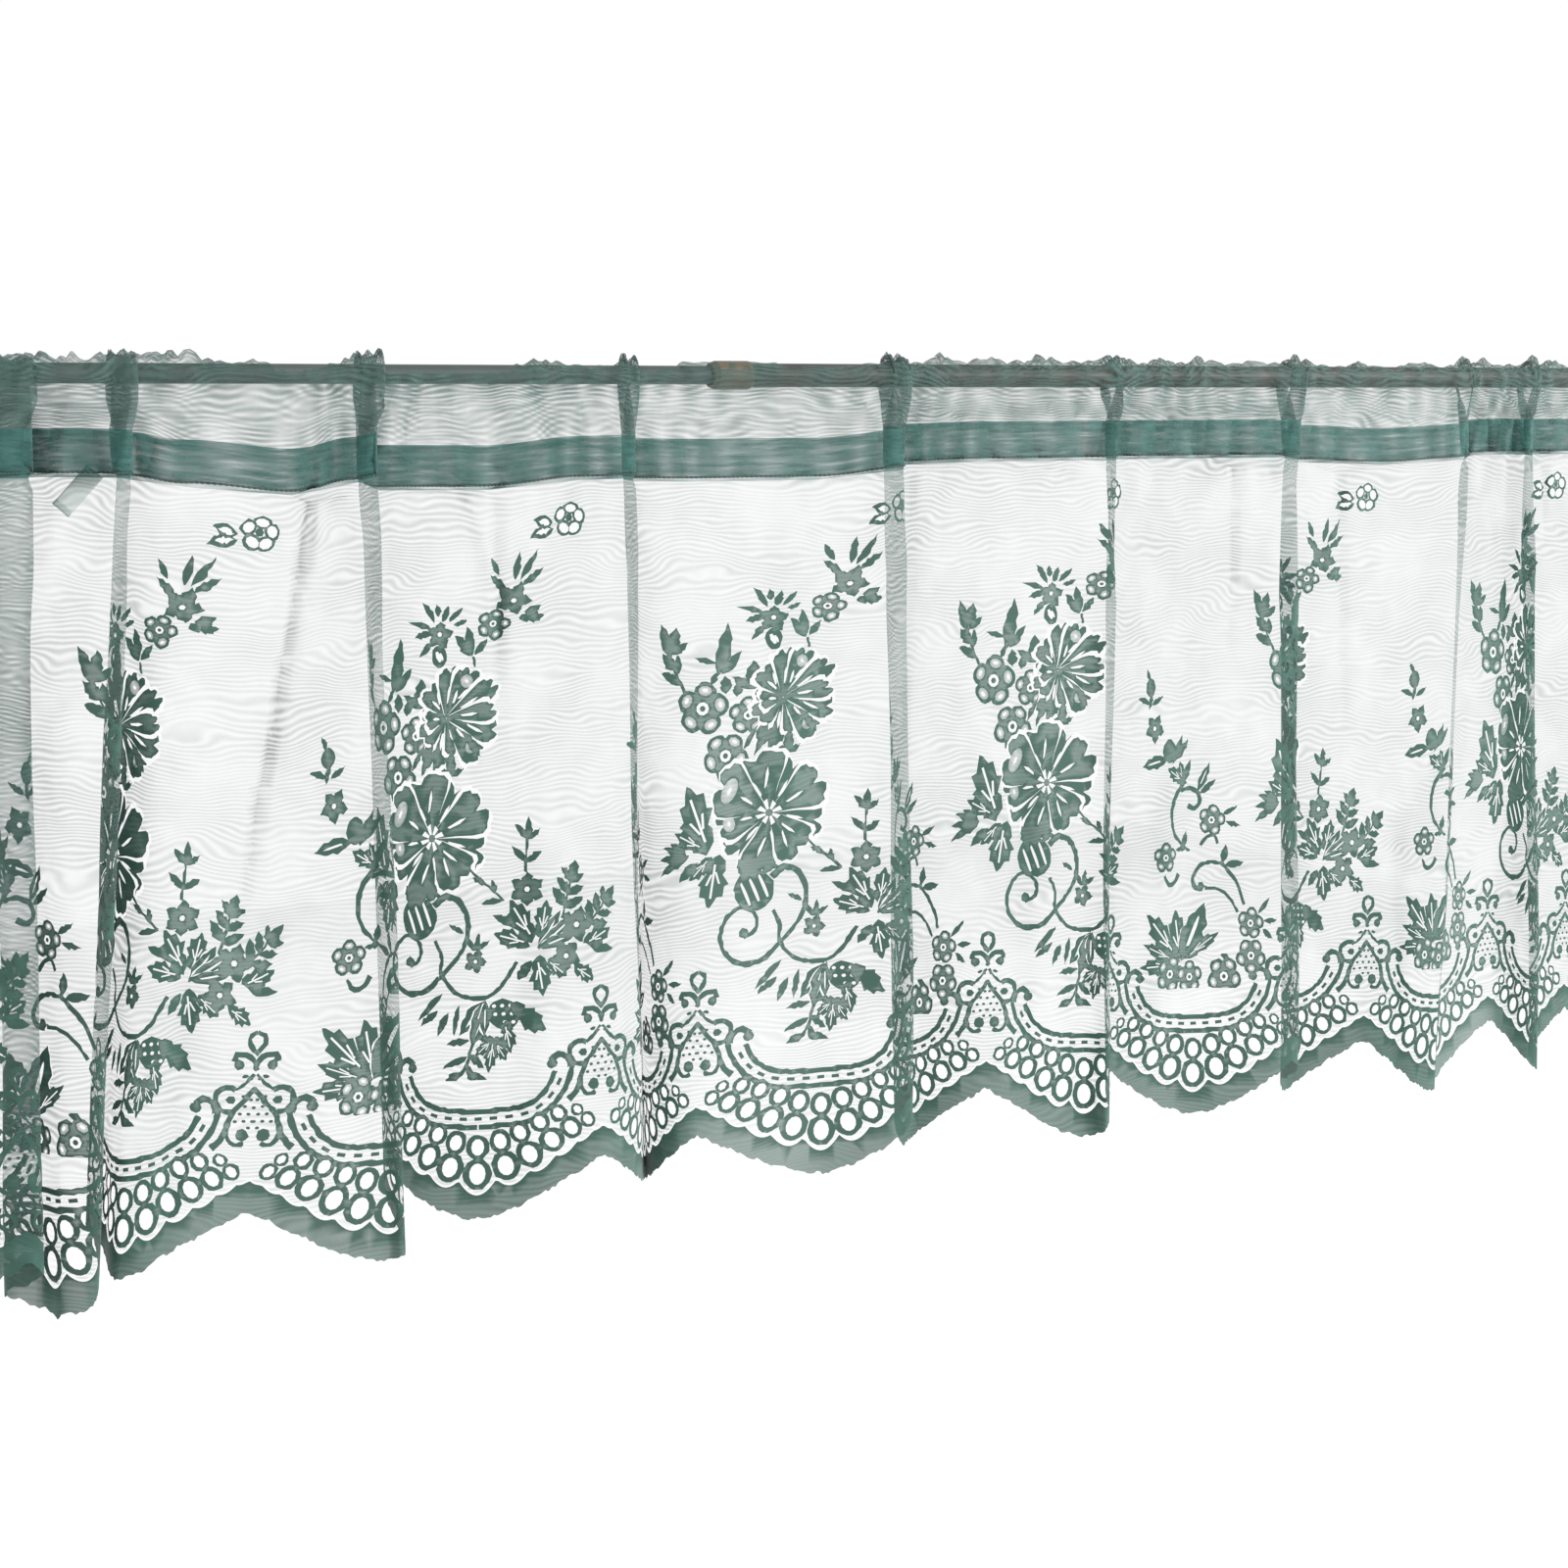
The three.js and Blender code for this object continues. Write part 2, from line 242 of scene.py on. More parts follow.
FOLDS = np.array([
    # flat place at the stitch line and at the hem in repeats, x and y at each, gather
    (0.11, 0.11, 38, 0, 38, -6, 1), (0.35, 0.28, 86, -12, 80, -24, 1),
    (0.46, 0.4, 72, 8, 70, 6, 1), (0.56, 0.46, 87, 6, 85, 0, 1),
    (0.66, 0.52, 105, -2, 91, -14, 1), (0.8, 0.585, 133, -12, 106, -22, 0.95),
    (0.87, 0.765, 130, 5, 112, 26, 0.9), (0.95, 0.86, 139, 5, 118, 14, 0.8),
    (1.06, 1, 164, 0, 122, -6, 0.45), (1.25, 1.25, 217, -2, 182, -12, 0),
    (1.41, 1.5, 246, -8, 254, -26, 0.5), (1.47, 1.54, 257, -13, 260, -30, 0.7),
    (1.58, 1.7, 255, 6, 267, 14, 0.5), (1.74, 1.84, 266, 7, 279, 18, 0.1),
    (2, 2, 322, 0, 313, 2, 0.05), (2.22, 2.25, 372, -6, 375, -24, 0.45),
    (2.35, 2.38, 401, -10, 400, -12, 0.5), (2.47, 2.5, 403, 6, 421, 20, 0.4),
    (2.6, 2.62, 409, 2, 417, -4, 0.3), (2.75, 2.75, 446, -2, 432, -20, 0.25),
    (3, 3, 517, -5, 511, -18, 0.25), (3.2, 3.21, 567, -14, 562, -34, 0.7),
    (3.34, 3.36, 566, 4, 577, 8, 0.8), (3.5, 3.56, 582, 6, 595, 18, 0.9),
    (3.72, 3.75, 630, 0, 632, -2, 1), (3.98, 4, 698, -6, 692, -18, 1),
    (4.05, 4.08, 716, -11, 703, -28, 1), (4.12, 4.19, 720, 3, 720, 0, 1),
    (4.21, 4.3, 729, 4, 732, 6, 1), (4.5, 4.5, 784, -2, 783, -6, 1),
    (4.82, 4.76, 854, -12, 843, -32, 1), (4.9, 4.92, 855, 5, 867, 10, 0.9),
    (4.98, 5.08, 871, 5, 884, 14, 0.65), (5.24, 5.25, 933, -1, 919, -6, 0.45),
    (5.49, 5.5, 996, -10, 961, -28, 0.7), (5.57, 5.56, 1005, 4, 974, -18, 0.8),
    (5.65, 5.64, 1014, 4, 995, -12, 0.9), (5.8, 5.78, 1036, -2, 1036, -6, 0.95),
    (5.98, 5.98, 1054, -11, 1060, -20, 0.9), (6.05, 6.08, 1059, 4, 1072, -2, 0.9),
    (6.28, 6.28, 1108, 0, 1108, -4, 0.9)]).T
# the folds that set where the cloth lies along the rod
ON_ROD = [0, 4, 8, 9, 10, 14, 15, 19, 20, 24, 25, 29, 33, 37, 40]
# cloth used from the stitch line up the front, over the rod and down the back
BAND_TOP, POCKET_LOW, POCKET_SIDE, POCKET_CROWN = 21.0, 39.0, 50.0, 72.0
BACK_SIDE, BACK_BAND, BACK_STITCH, TUCK_END = 83.0, 101.0, 122.0, 143.0
flat_top, flat_hem, x_top, y_top, x_hem, y_hem, gather = FOLDS


def through(values, stations, row, share):
    """The smooth curve through the folds' values, as the solid has it."""
    slope = np.gradient(values)
    slope[1:-1] = (values[2:] - values[:-2]) / (stations[2:] - stations[:-2])
    slope[[0, -1]] = [(values[1] - values[0]) / (stations[1] - stations[0]),
                      (values[-1] - values[-2]) / (stations[-1] - stations[-2])]
    span = stations[row + 1] - stations[row]
    s2, s3 = share ** 2, share ** 3
    return ((2 * s3 - 3 * s2 + 1) * values[row] + (s3 - 2 * s2 + share) * span * slope[row]
            + (3 * s2 - 2 * s3) * values[row + 1] + (s3 - s2) * span * slope[row + 1])


def plan(flat, aside, depth, hang):
    """Where the cloth at a flat place runs, seen from above, and how gathered it is there."""
    stations = flat_top + (flat_hem - flat_top) * hang[:, None]
    row = np.clip((stations[:, 1:-1] <= flat[:, None]).sum(1), 0, len(flat_top) - 2)
    pick = np.arange(len(flat))
    low, high = stations[pick, row], stations[pick, row + 1]
    share = np.clip((flat - low) / (high - low), 0, 1)
    along_rod = np.interp(flat_top[row] + (flat_top[row + 1] - flat_top[row]) * share,
                          flat_top[ON_ROD], x_top[ON_ROD])
    upper = along_rod + (through(x_top, flat_top, row, share) - along_rod) * aside
    x = upper + (through(x_hem, flat_hem, row, share) - upper) * hang
    y_upper = through(y_top, flat_top, row, share)
    x = x - y_upper * (1 - depth) * LAID_OVER * (1 - hang)
    y_upper = y_upper * depth
    y = y_upper + (through(y_hem, flat_hem, row, share) - y_upper) * hang
    return x, y, gather[row] + (gather[row + 1] - gather[row]) * share ** 2 * (3 - 2 * share)


def swell(flat, drop, held):
    """Small pleats fanning down from the gathers and the slow unevenness of hung cloth."""
    across = flat * REPEAT
    lean = across + 0.25 * drop + 3 * np.sin(drop / 17 + across / 40)
    fade = np.exp(-np.maximum(drop, 0) / 48)
    pleats = held * fade * (0.9 * np.sin(lean / 2.6 + 1.4 * np.sin(across / 31))
                            + 2.2 * np.sin(lean / 5.3 + 0.8))
    slow = (1.3 * np.sin(across / 27 + drop / 140 + 0.6) * np.sin(drop / 95 + across / 210)
            + 0.8 * np.sin(across / 16.5 - drop / 70 + 2.1) * np.sin(drop / 61 + 1))
    return pleats + slow * np.clip(drop / 70, 0, 1)


TUCKS = [  # soft troughs (+) and ridges (-): flat and drop at both ends, depth, width
    (1.3, -12, 1.2, 225, 4.4, 3), (1.3, -30, 1.31, 60, -2, 4), (2.02, -36, 2.04, 150, 2.2, 4),
    (3.52, 0, 3.5, 200, 1.8, 5), (4.62, -30, 4.6, 120, 2.2, 3.5), (1.9, -36, 2.02, 60, -1.8, 4),
    (2.93, 30, 2.9, 260, -1.6, 12), (5.1, -30, 5.16, 170, 1.8, 4), (3.83, 180, 3.86, 380, 1.5, 8),
    (2.12, 200, 2.1, 388, -1.6, 9), (4.42, 190, 4.38, 385, -1.4, 9), (1.12, 240, 1.1, 388, 1.6, 7),
    (5.33, 230, 5.36, 380, 1.3, 7), (1.79, -46, 1.7, -12, 2.6, 2.2), (1.84, -46, 1.8, -20, 2.2, 2),
    (2.1, -46, 2.16, -14, 2.6, 2.4), (2.2, -46, 2.24, -22, 2.2, 2), (2.05, -44, 2.0, -16, -2, 2.4),
    (1.55, -46, 1.45, -6, 2.6, 2.2), (1.5, -46, 1.42, -14, -2, 2), (0.66, -46, 0.62, -8, 2.4, 2.4),
    (0.98, -46, 1.08, -26, 2.2, 2.2), (3.1, -46, 3.2, -14, 2.4, 2.2), (3.06, -44, 3.12, -22, -2, 2),
    (3.62, -46, 3.68, -14, 2.2, 2), (3.8, -46, 3.76, -10, 2.2, 2), (3.93, -46, 3.96, -16, 2.2, 2),
    (4.36, -46, 4.42, -12, 2.2, 2), (4.52, -44, 4.5, -8, 2.2, 2.2), (4.7, -46, 4.74, -14, 2.4, 2),
    (5.0, -46, 4.95, -8, 2.2, 2), (5.3, -46, 5.34, -12, 2.2, 2), (5.4, -46, 5.46, -10, 2.4, 2),
    (5.7, -46, 5.74, -6, 2.2, 2), (5.86, -46, 5.88, -14, 2.2, 2), (6.14, -46, 6.16, 60, 2.2, 3)]


def tuck_depth(flat, drop):
    depth = np.zeros(len(flat))
    for flat_a, drop_a, flat_b, drop_b, most, width in TUCKS:
        share = (drop - drop_a) / (drop_b - drop_a)
        away = (flat - flat_a - (flat_b - flat_a) * np.clip(share, 0, 1)) * REPEAT
        ends = np.clip(share * 6 + 0.6, 0, 1) * np.clip((1 - share) * 3 + 0.2, 0, 1)
        depth += 1.7 * most * ends * np.exp(-(away / width) ** 2)
    return depth


def tube_radius(x):
    """How thick the rod is there: the inner tube, the collar, the outer tube."""
    return np.where(x < 438, 5.0, np.where(x < 490, 7.8, 6.5))


def drape(across, drop):
    """Flat millimetres to hanging metres. A drop below 0 is the heading, up from the stitch line."""
    flat = across / REPEAT
    hang = np.clip(drop / FLAT_DROP, 0, 1.02)
    up = np.maximum(-drop, 0)
    turns = [0, BAND_TOP, POCKET_LOW, POCKET_SIDE, POCKET_CROWN, BACK_SIDE, BACK_BAND, BACK_STITCH,
             TUCK_END]
    aside = np.interp(up, turns, [1, 1, 1, 0.92, 0.92, 1, 1, 1, 1])
    depth = np.interp(up, turns, [1, 0.92, 0.2, 0.1, 0.1, 0.2, 0.92, 1, 0.92])
    x, y, held = plan(flat, aside, depth, hang)
    step = 0.004
    x1, y1, _ = plan(flat - step, aside, depth, hang)
    x2, y2, _ = plan(flat + step, aside, depth, hang)
    run = np.hypot(x2 - x1, y2 - y1) + 1e-9
    upright = np.interp(up, turns, [0, 0, 1, 1, 1, 1, 0, 0, 0])
    face_x, face_y = (y2 - y1) / run * (1 - upright), -(x2 - x1) / run * (1 - upright) - upright
    stitch = STITCH_SLACK - STITCH_LIFT * held
    radius = np.maximum(tube_radius(x - 3), tube_radius(x + 3))
    # over the rod the spare cloth stands up in small uneven loops
    wide = 0.5 + 0.5 * np.sin(flat * 2 * math.pi * REPEAT / 42)
    fine = 0.5 + 0.5 * np.sin(across / 2.3 + up / 9 + 1.7 * np.sin(across / 23))
    ruffle = 0.5 * wide + 0.5 * fine
    side = radius + 0.9 + held * ruffle * 2.8 + np.abs(y) * 0.5
    crown = radius + 0.8 + held * (4.2 - wide * 1.4 - fine * 2.4)
    for place, reach, height in BUNCHES:
        frayed = np.sin(across / 1.35 + place * 40 + 1.5 * np.sin(across / 3.1 + up / 5))
        crown = crown + 1.7 * height * (0.62 + 0.38 * frayed) * np.exp(-((flat - place) / reach) ** 2)
    arch = math.pi * np.clip((up - POCKET_SIDE) / (POCKET_CROWN - POCKET_SIDE), 0, 1)
    sag = np.interp(flat, *SAG)
    level = -(stitch + (HEM_LEVEL + sag - stitch) * drop / FLAT_DROP)
    band = -stitch + BAND_TOP
    levels = [-stitch, band, -LOW_LEVEL, -SIDE_LEVEL, -SIDE_LEVEL, -LOW_LEVEL, band, -stitch,
              TUCK_RISE - stitch]
    for start, end, low, high in zip(turns, turns[1:], levels, levels[1:]):
        within = (up > start) & (up <= end)
        level = np.where(within, low + (high - low) * (up - start) / (end - start), level)
    over = (up > POCKET_SIDE) & (up <= POCKET_CROWN)
    level = np.where(over, crown * np.sin(arch) - SIDE_LEVEL, level)
    half = np.interp(up, [0, BAND_TOP, POCKET_LOW], [0.5, 0.6, 0])
    spread = np.interp(up, [BAND_TOP, POCKET_LOW, POCKET_SIDE, POCKET_CROWN, BACK_SIDE, BACK_BAND],
                       [0, 0.6, 1, -1, -0.6, 0])
    spread = np.where(over, np.cos(arch), spread)
    behind = np.interp(up, [BACK_SIDE, BACK_BAND, BACK_STITCH, BACK_STITCH + 2, TUCK_END],
                       [0, -0.6, -0.5, 0, 0])
    loose = np.interp(up, [0, BAND_TOP, BAND_TOP + 8, POCKET_LOW, POCKET_SIDE, POCKET_CROWN, BACK_SIDE,
                           BACK_BAND], [1, 0.8, 1, 0.8, 0.3, -0.3, -0.6, 0.8])
    proud = (swell(flat, drop, held) - tuck_depth(flat, drop)) * np.where(up > BACK_SIDE, 0.8, loose)
    proud = np.where((up > BAND_TOP) & (up < BACK_BAND), np.clip(proud, -1.2, 3.4), proud)
    offset = half + behind + proud
    return np.stack([x + face_x * offset, y + face_y * offset - spread * side, level], 1) * MM


def scallop_rise(across):
    """How far the scalloped edge has risen: 0 at a scallop's lowest point, 1 in the notch beside it."""
    away = np.abs((np.asarray(across) / REPEAT * 2 + 0.5) % 1 - 0.5) * 2
    return 0.3 * (0.5 - 0.5 * np.cos(math.pi * away)) + 0.7 * away ** 1.45


def scallop_drop(across):
    """The hem's drop below the stitch line: two scallops to a repeat."""
    return FLAT_DROP - SCALLOP * scallop_rise(across)


# The pattern is drawn flat, in millimetres right of and below a bouquet's place on the stitch line.
# Each figure is an outline worked in one of four ways.
NET, CLOTHWORK, HALFWORK, OPENWORK, BANDWORK = range(5)
WALE, COURSE = 0.85, 0.95   # one stitch across and down; outlines step by whole stitches
figures = []


def curve(places, step, least):
    """Points along the smooth curve through the places, from the second to the last but one."""
    path = []
    for a, b, c, d in zip(places, places[1:], places[2:], places[3:]):
        count = max(least, round(float(np.hypot(*(c - b))) / step))
        path += [0.5 * (2 * b + (c - a) * t + (2 * a - 5 * b + 4 * c - d) * t * t
                        + (3 * b - a - 3 * c + d) * t ** 3) for t in np.arange(count) / count]
    return path


def whole(side, tip, width, length, lag, slim=1):
    """A closed outline from one side of it: the other side is a little lower and slimmer."""
    return ([(u * width, v * length) for u, v in side] + [tip]
            + [(-u * width * slim, (v - lag) * length) for u, v in side[::-1]])


def work(kind, outline, stepped=True):
    """Adds a figure, with its outline on whole stitches."""
    steps = []
    for x, y in outline:
        point = (round(x / WALE) * WALE, round(y / COURSE) * COURSE) if stepped else (x, y)
        if not steps or point != steps[-1]:
            steps.append(point)
    if len(steps) > 2:
        figures.append((kind, steps))


class Motif:
    """A place on the cloth from which one bouquet or spray is drawn."""

    # levels in the drawing, and the levels at which they are knitted
    DRAWN = (0, 25, 64, 86, 133, 162, 192, 234, 265, 315)
    WORKED = (0, 21, 61, 77, 124, 154, 189, 232, 264, 322)

    def __init__(self, across, mirrored=False, even=False):
        self.across, self.hand, self.even = across, -1 if mirrored else 1, even

    def at(self, x, y):
        level = y if self.even else float(np.interp(y, self.DRAWN, self.WORKED))
        return self.across + self.hand * x, level

    def shape(self, kind, points, smooth=True, stepped=True, step=2.5):
        outline = [self.at(*p) for p in points]
        if smooth:
            corners = np.array(outline, float)
            outline = curve([corners[-1], *corners, corners[0], corners[1]], step, 1)
        work(kind, outline, stepped)

    def leaves(self, *table):
        for leaf in table:
            self.leaf(*leaf)

    def leaves_about(self, x, y, width, *table):
        """Leaves that stand off a place: heading, length and distance from it."""
        for heading, length, distance in table:
            self.leaf(*self.off(x, y, heading, distance), heading, length, width)

    def broad_leaves(self, *table):
        for leaf in table:
            self.broad_leaf(*leaf)

    def turned(self, x, y, heading, points, wide=1, long=1):
        """Points given as (across, along) a heading, 0 being up and 90 to the right."""
        a = math.radians(heading)
        return [(x + u * wide * math.cos(a) + v * long * math.sin(a),
                 y + u * wide * math.sin(a) - v * long * math.cos(a)) for u, v in points]

    def off(self, x, y, heading, distance):
        return self.turned(x, y, heading, [(0, distance)])[0]

    def slit(self, x, y, heading, points, wide=1, long=1):
        """A narrow opening with straight sides, finer than a stitch."""
        self.shape(OPENWORK, self.turned(x, y, heading, points, wide, long), False, False)

    def leaf(self, x, y, heading, length, width, kind=CLOTHWORK, vein=False, halo=0.0):
        width, length = width * 1.16, length * 1.06
        side = [(0.06, 0.0), (0.36, 0.18), (0.54, 0.44), (0.4, 0.56), (0.44, 0.7), (0.16, 0.9)]
        points = whole(side, (0, length), width, length, 0.06, 0.92)
        if halo:
            wide, long = 1 + 2 * halo / width, 1 + halo / length
            self.shape(OPENWORK, self.turned(x, y, heading, points, wide, long))
        self.shape(kind, self.turned(x, y, heading, points))
        if vein:
            slit = [(-0.05, 0.2), (0.06, 0.24), (0.08, 0.62), (0, 0.76), (-0.06, 0.6)]
            self.shape(OPENWORK, self.turned(x, y, heading, slit, width, length), stepped=False, step=3)

    def broad_leaf(self, x, y, heading, length, width, vein=True):
        """A rose leaf with a toothed edge: out and in again at each tooth."""
        side = [(0.05, 0.0), (0.26, 0.1), (0.36, 0.3), (0.27, 0.36), (0.5, 0.56), (0.36, 0.6),
                (0.38, 0.8), (0.2, 0.82), (0.1, 0.95)]
        points = whole(side, (0, length), width, length, 0.05)
        self.shape(CLOTHWORK, self.turned(x, y, heading, points), smooth=False)
        if vein:
            for lean, low, high in ((0, 0.14, 0.8), (0.2, 0.34, 0.56), (-0.2, 0.28, 0.5)):
                slit = [(lean * 0.3, low), (lean * 0.3 + 0.07, low), (lean + 0.04, high),
                        (lean - 0.03, high)]
                self.slit(x, y, heading, slit, width, length)

    def lobed(self, x, y, heading, size, spread):
        """A vine leaf: a long middle lobe between shorter ones, with open veins."""
        for turn, reach, wide in ((1.9 * spread, 0.55, 0.3), (-1.9 * spread, 0.5, 0.3),
                                  (spread, 0.8, 0.42), (-spread, 0.78, 0.42), (0, 1, 0.5)):
            self.broad_leaf(x, y, heading + turn, size * reach, size * wide, vein=abs(turn) <= spread)

    def stroke(self, points, start, end=None, step=2.2):
        """A stem or scroll of a changing width."""
        end = start if end is None else end
        points = np.array(points, float)
        path = np.array(curve([points[0], *points, points[-1]], step, 2) + [points[-1]])
        along = np.gradient(path, axis=0)
        along /= np.hypot(along[:, 0], along[:, 1])[:, None] + 1e-9
        half = np.linspace(start, end, len(path))[:, None] / 2
        side = np.stack([-along[:, 1], along[:, 0]], 1) * half
        self.shape(CLOTHWORK, [*(path + side), *(path - side)[::-1]], smooth=False)

    def disc(self, x, y, wide, tall=None, kind=CLOTHWORK, heading=0, stepped=True):
        tall = wide if tall is None else tall
        count = max(6, round((wide + tall) * 1.25))
        ring = [(wide * math.cos(t), tall * math.sin(t))
                for t in np.arange(count) * 2 * math.pi / count]
        self.shape(kind, self.turned(x, y, heading, ring), smooth=False, stepped=stepped)

    def rosette(self, x, y, size, turn):
        """Petals outlined round half-worked middles, and an open eye with a dot in it."""
        for ring, wide, tall, kind in ((0.6, 0.45, 0.42, CLOTHWORK), (0.68, 0.27, 0.2, HALFWORK),
                                       (0.7, 0.13, 0.08, OPENWORK)):
            for heading in range(turn, turn + 360, 72):
                self.disc(*self.off(x, y, heading, size * ring), size * wide, size * tall, kind,
                          heading, kind == CLOTHWORK)
            if kind == CLOTHWORK:
                self.disc(x, y, size * 0.42)
        self.disc(x, y, size * 0.25, kind=OPENWORK, stepped=False)
        self.disc(x, y, size * 0.12, stepped=False)

    def flower(self, x, y, size, turn=0, petals=5):
        """A small flower worked solid, with an open eye."""
        for i in range(petals):
            self.leaf(x, y, turn + i * 360 / petals, size, size * 0.72)
        self.disc(x, y, size * 0.17, kind=OPENWORK, stepped=False)

    def sprig(self, x, y, heading, size, pairs, wide):
        """A stem with paired leaves and one at its tip."""
        path = self.turned(x, y, heading, [(0, 0), (0, size * 0.35), (0, size * 0.72)])
        self.stroke(path, 1.7, 1.2)
        self.leaf(*path[-1], heading, size * 0.42, size * 0.42 * wide)
        for i in range(pairs):
            sx, sy = self.off(x, y, heading, size * (0.25 + 0.5 * i / (pairs - 1)))
            reach = size * (0.44 - 0.06 * i)
            self.leaf(sx, sy, heading - 48, reach, reach * wide * 0.85)
            self.leaf(sx, sy + 1, heading + 50, reach * 0.92, reach * wide * 0.85)

    def petal(self, x, y, heading, near, far, width, notch, slits, half):
        """A notched petal with an open line round it, and open slits or half-worked rows in it."""
        side = [(0.08, near), (0.3, near + (far - near) * 0.32), (0.52, near + (far - near) * 0.6),
                (0.6, near + (far - near) * 0.76), (0.56, far * 0.88), (0.44, far * 0.9),
                (0.36, far * 0.97), (0.2, far), (0.09, far * 0.96)]
        points = whole(side, (0, far * (1 - notch)), width, 1, 0.05 * far)
        halo = [(u * (1 + 4.2 / width), v + 1.4) for u, v in points]
        self.shape(OPENWORK, self.turned(x, y, heading, halo), smooth=False)
        self.shape(CLOTHWORK, self.turned(x, y, heading, points), smooth=False)
        if half:
            middle = self.off(x, y, heading, near + (far - near) * 0.72)
            self.disc(*middle, width * 0.3, far * 0.12, HALFWORK, heading, False)
            self.disc(*middle, width * 0.1, far * 0.03, OPENWORK, heading, False)
        for i in range(slits):
            lean = (i - (slits - 1) / 2) * 2
            base = near + (far - near) * (0.24 + 0.12 * (i % 2))
            reach = (far - near) * (0.36 - 0.1 * half)
            slit = [(-0.4, 0), (0.4, 0.1), (0.85, 0.62), (0.2, 1), (-0.4, 0.7)]
            self.slit(x, y, heading, [(lean * width * (0.05 + 0.15 * v) + u * 1.35, base + v * reach)
                                      for u, v in slit])

    def rose(self, x, y, size):
        """The big rose: broad notched petals lying over one another round a star of open stamens."""
        for heading, far, wide, slits, half in (
                (32, 0.94, 0.7, 1, False), (-16, 0.96, 0.84, 2, False), (104, 1.04, 0.62, 1, False),
                (218, 0.96, 0.56, 1, False), (182, 1.06, 0.74, 2, False), (64, 1.12, 0.6, 1, False),
                (258, 0.92, 0.5, 1, True), (142, 0.98, 0.66, 2, False), (-60, 1.04, 0.72, 1, True)):
            notch = 0.13 + 0.06 * (slits % 2)
            self.petal(x, y, heading, size * 0.07, size * far, size * wide, notch, slits, half)
        self.disc(x, y, size * 0.12)
        for i in range(8):
            star = [(-0.02, 0.06), (0.02, 0.06), (0.05, 0.17 + 0.05 * (i % 2)), (-0.03, 0.2)]
            self.slit(x, y, i * 45 + 24, star, size, size)

    def fan(self, x, y, size):
        """A half-open blossom: uneven petals spreading from a low heart, the long ones to one side."""
        for heading, far, wide, slits, half in (
                (-66, 0.62, 0.42, 1, False), (-32, 0.82, 0.5, 2, False), (198, 1.12, 0.5, 2, False),
                (232, 0.72, 0.44, 1, False), (4, 1.12, 0.44, 1, False), (160, 0.8, 0.4, 1, False),
                (30, 1.24, 0.5, 2, True), (134, 1.16, 0.62, 1, True), (58, 1.4, 0.4, 1, False),
                (104, 1.26, 0.5, 2, False), (82, 1.2, 0.36, 1, False), (264, 0.5, 0.34, 1, False)):
            self.petal(x, y, heading, size * 0.05, size * far, size * wide, 0.14, slits, half)


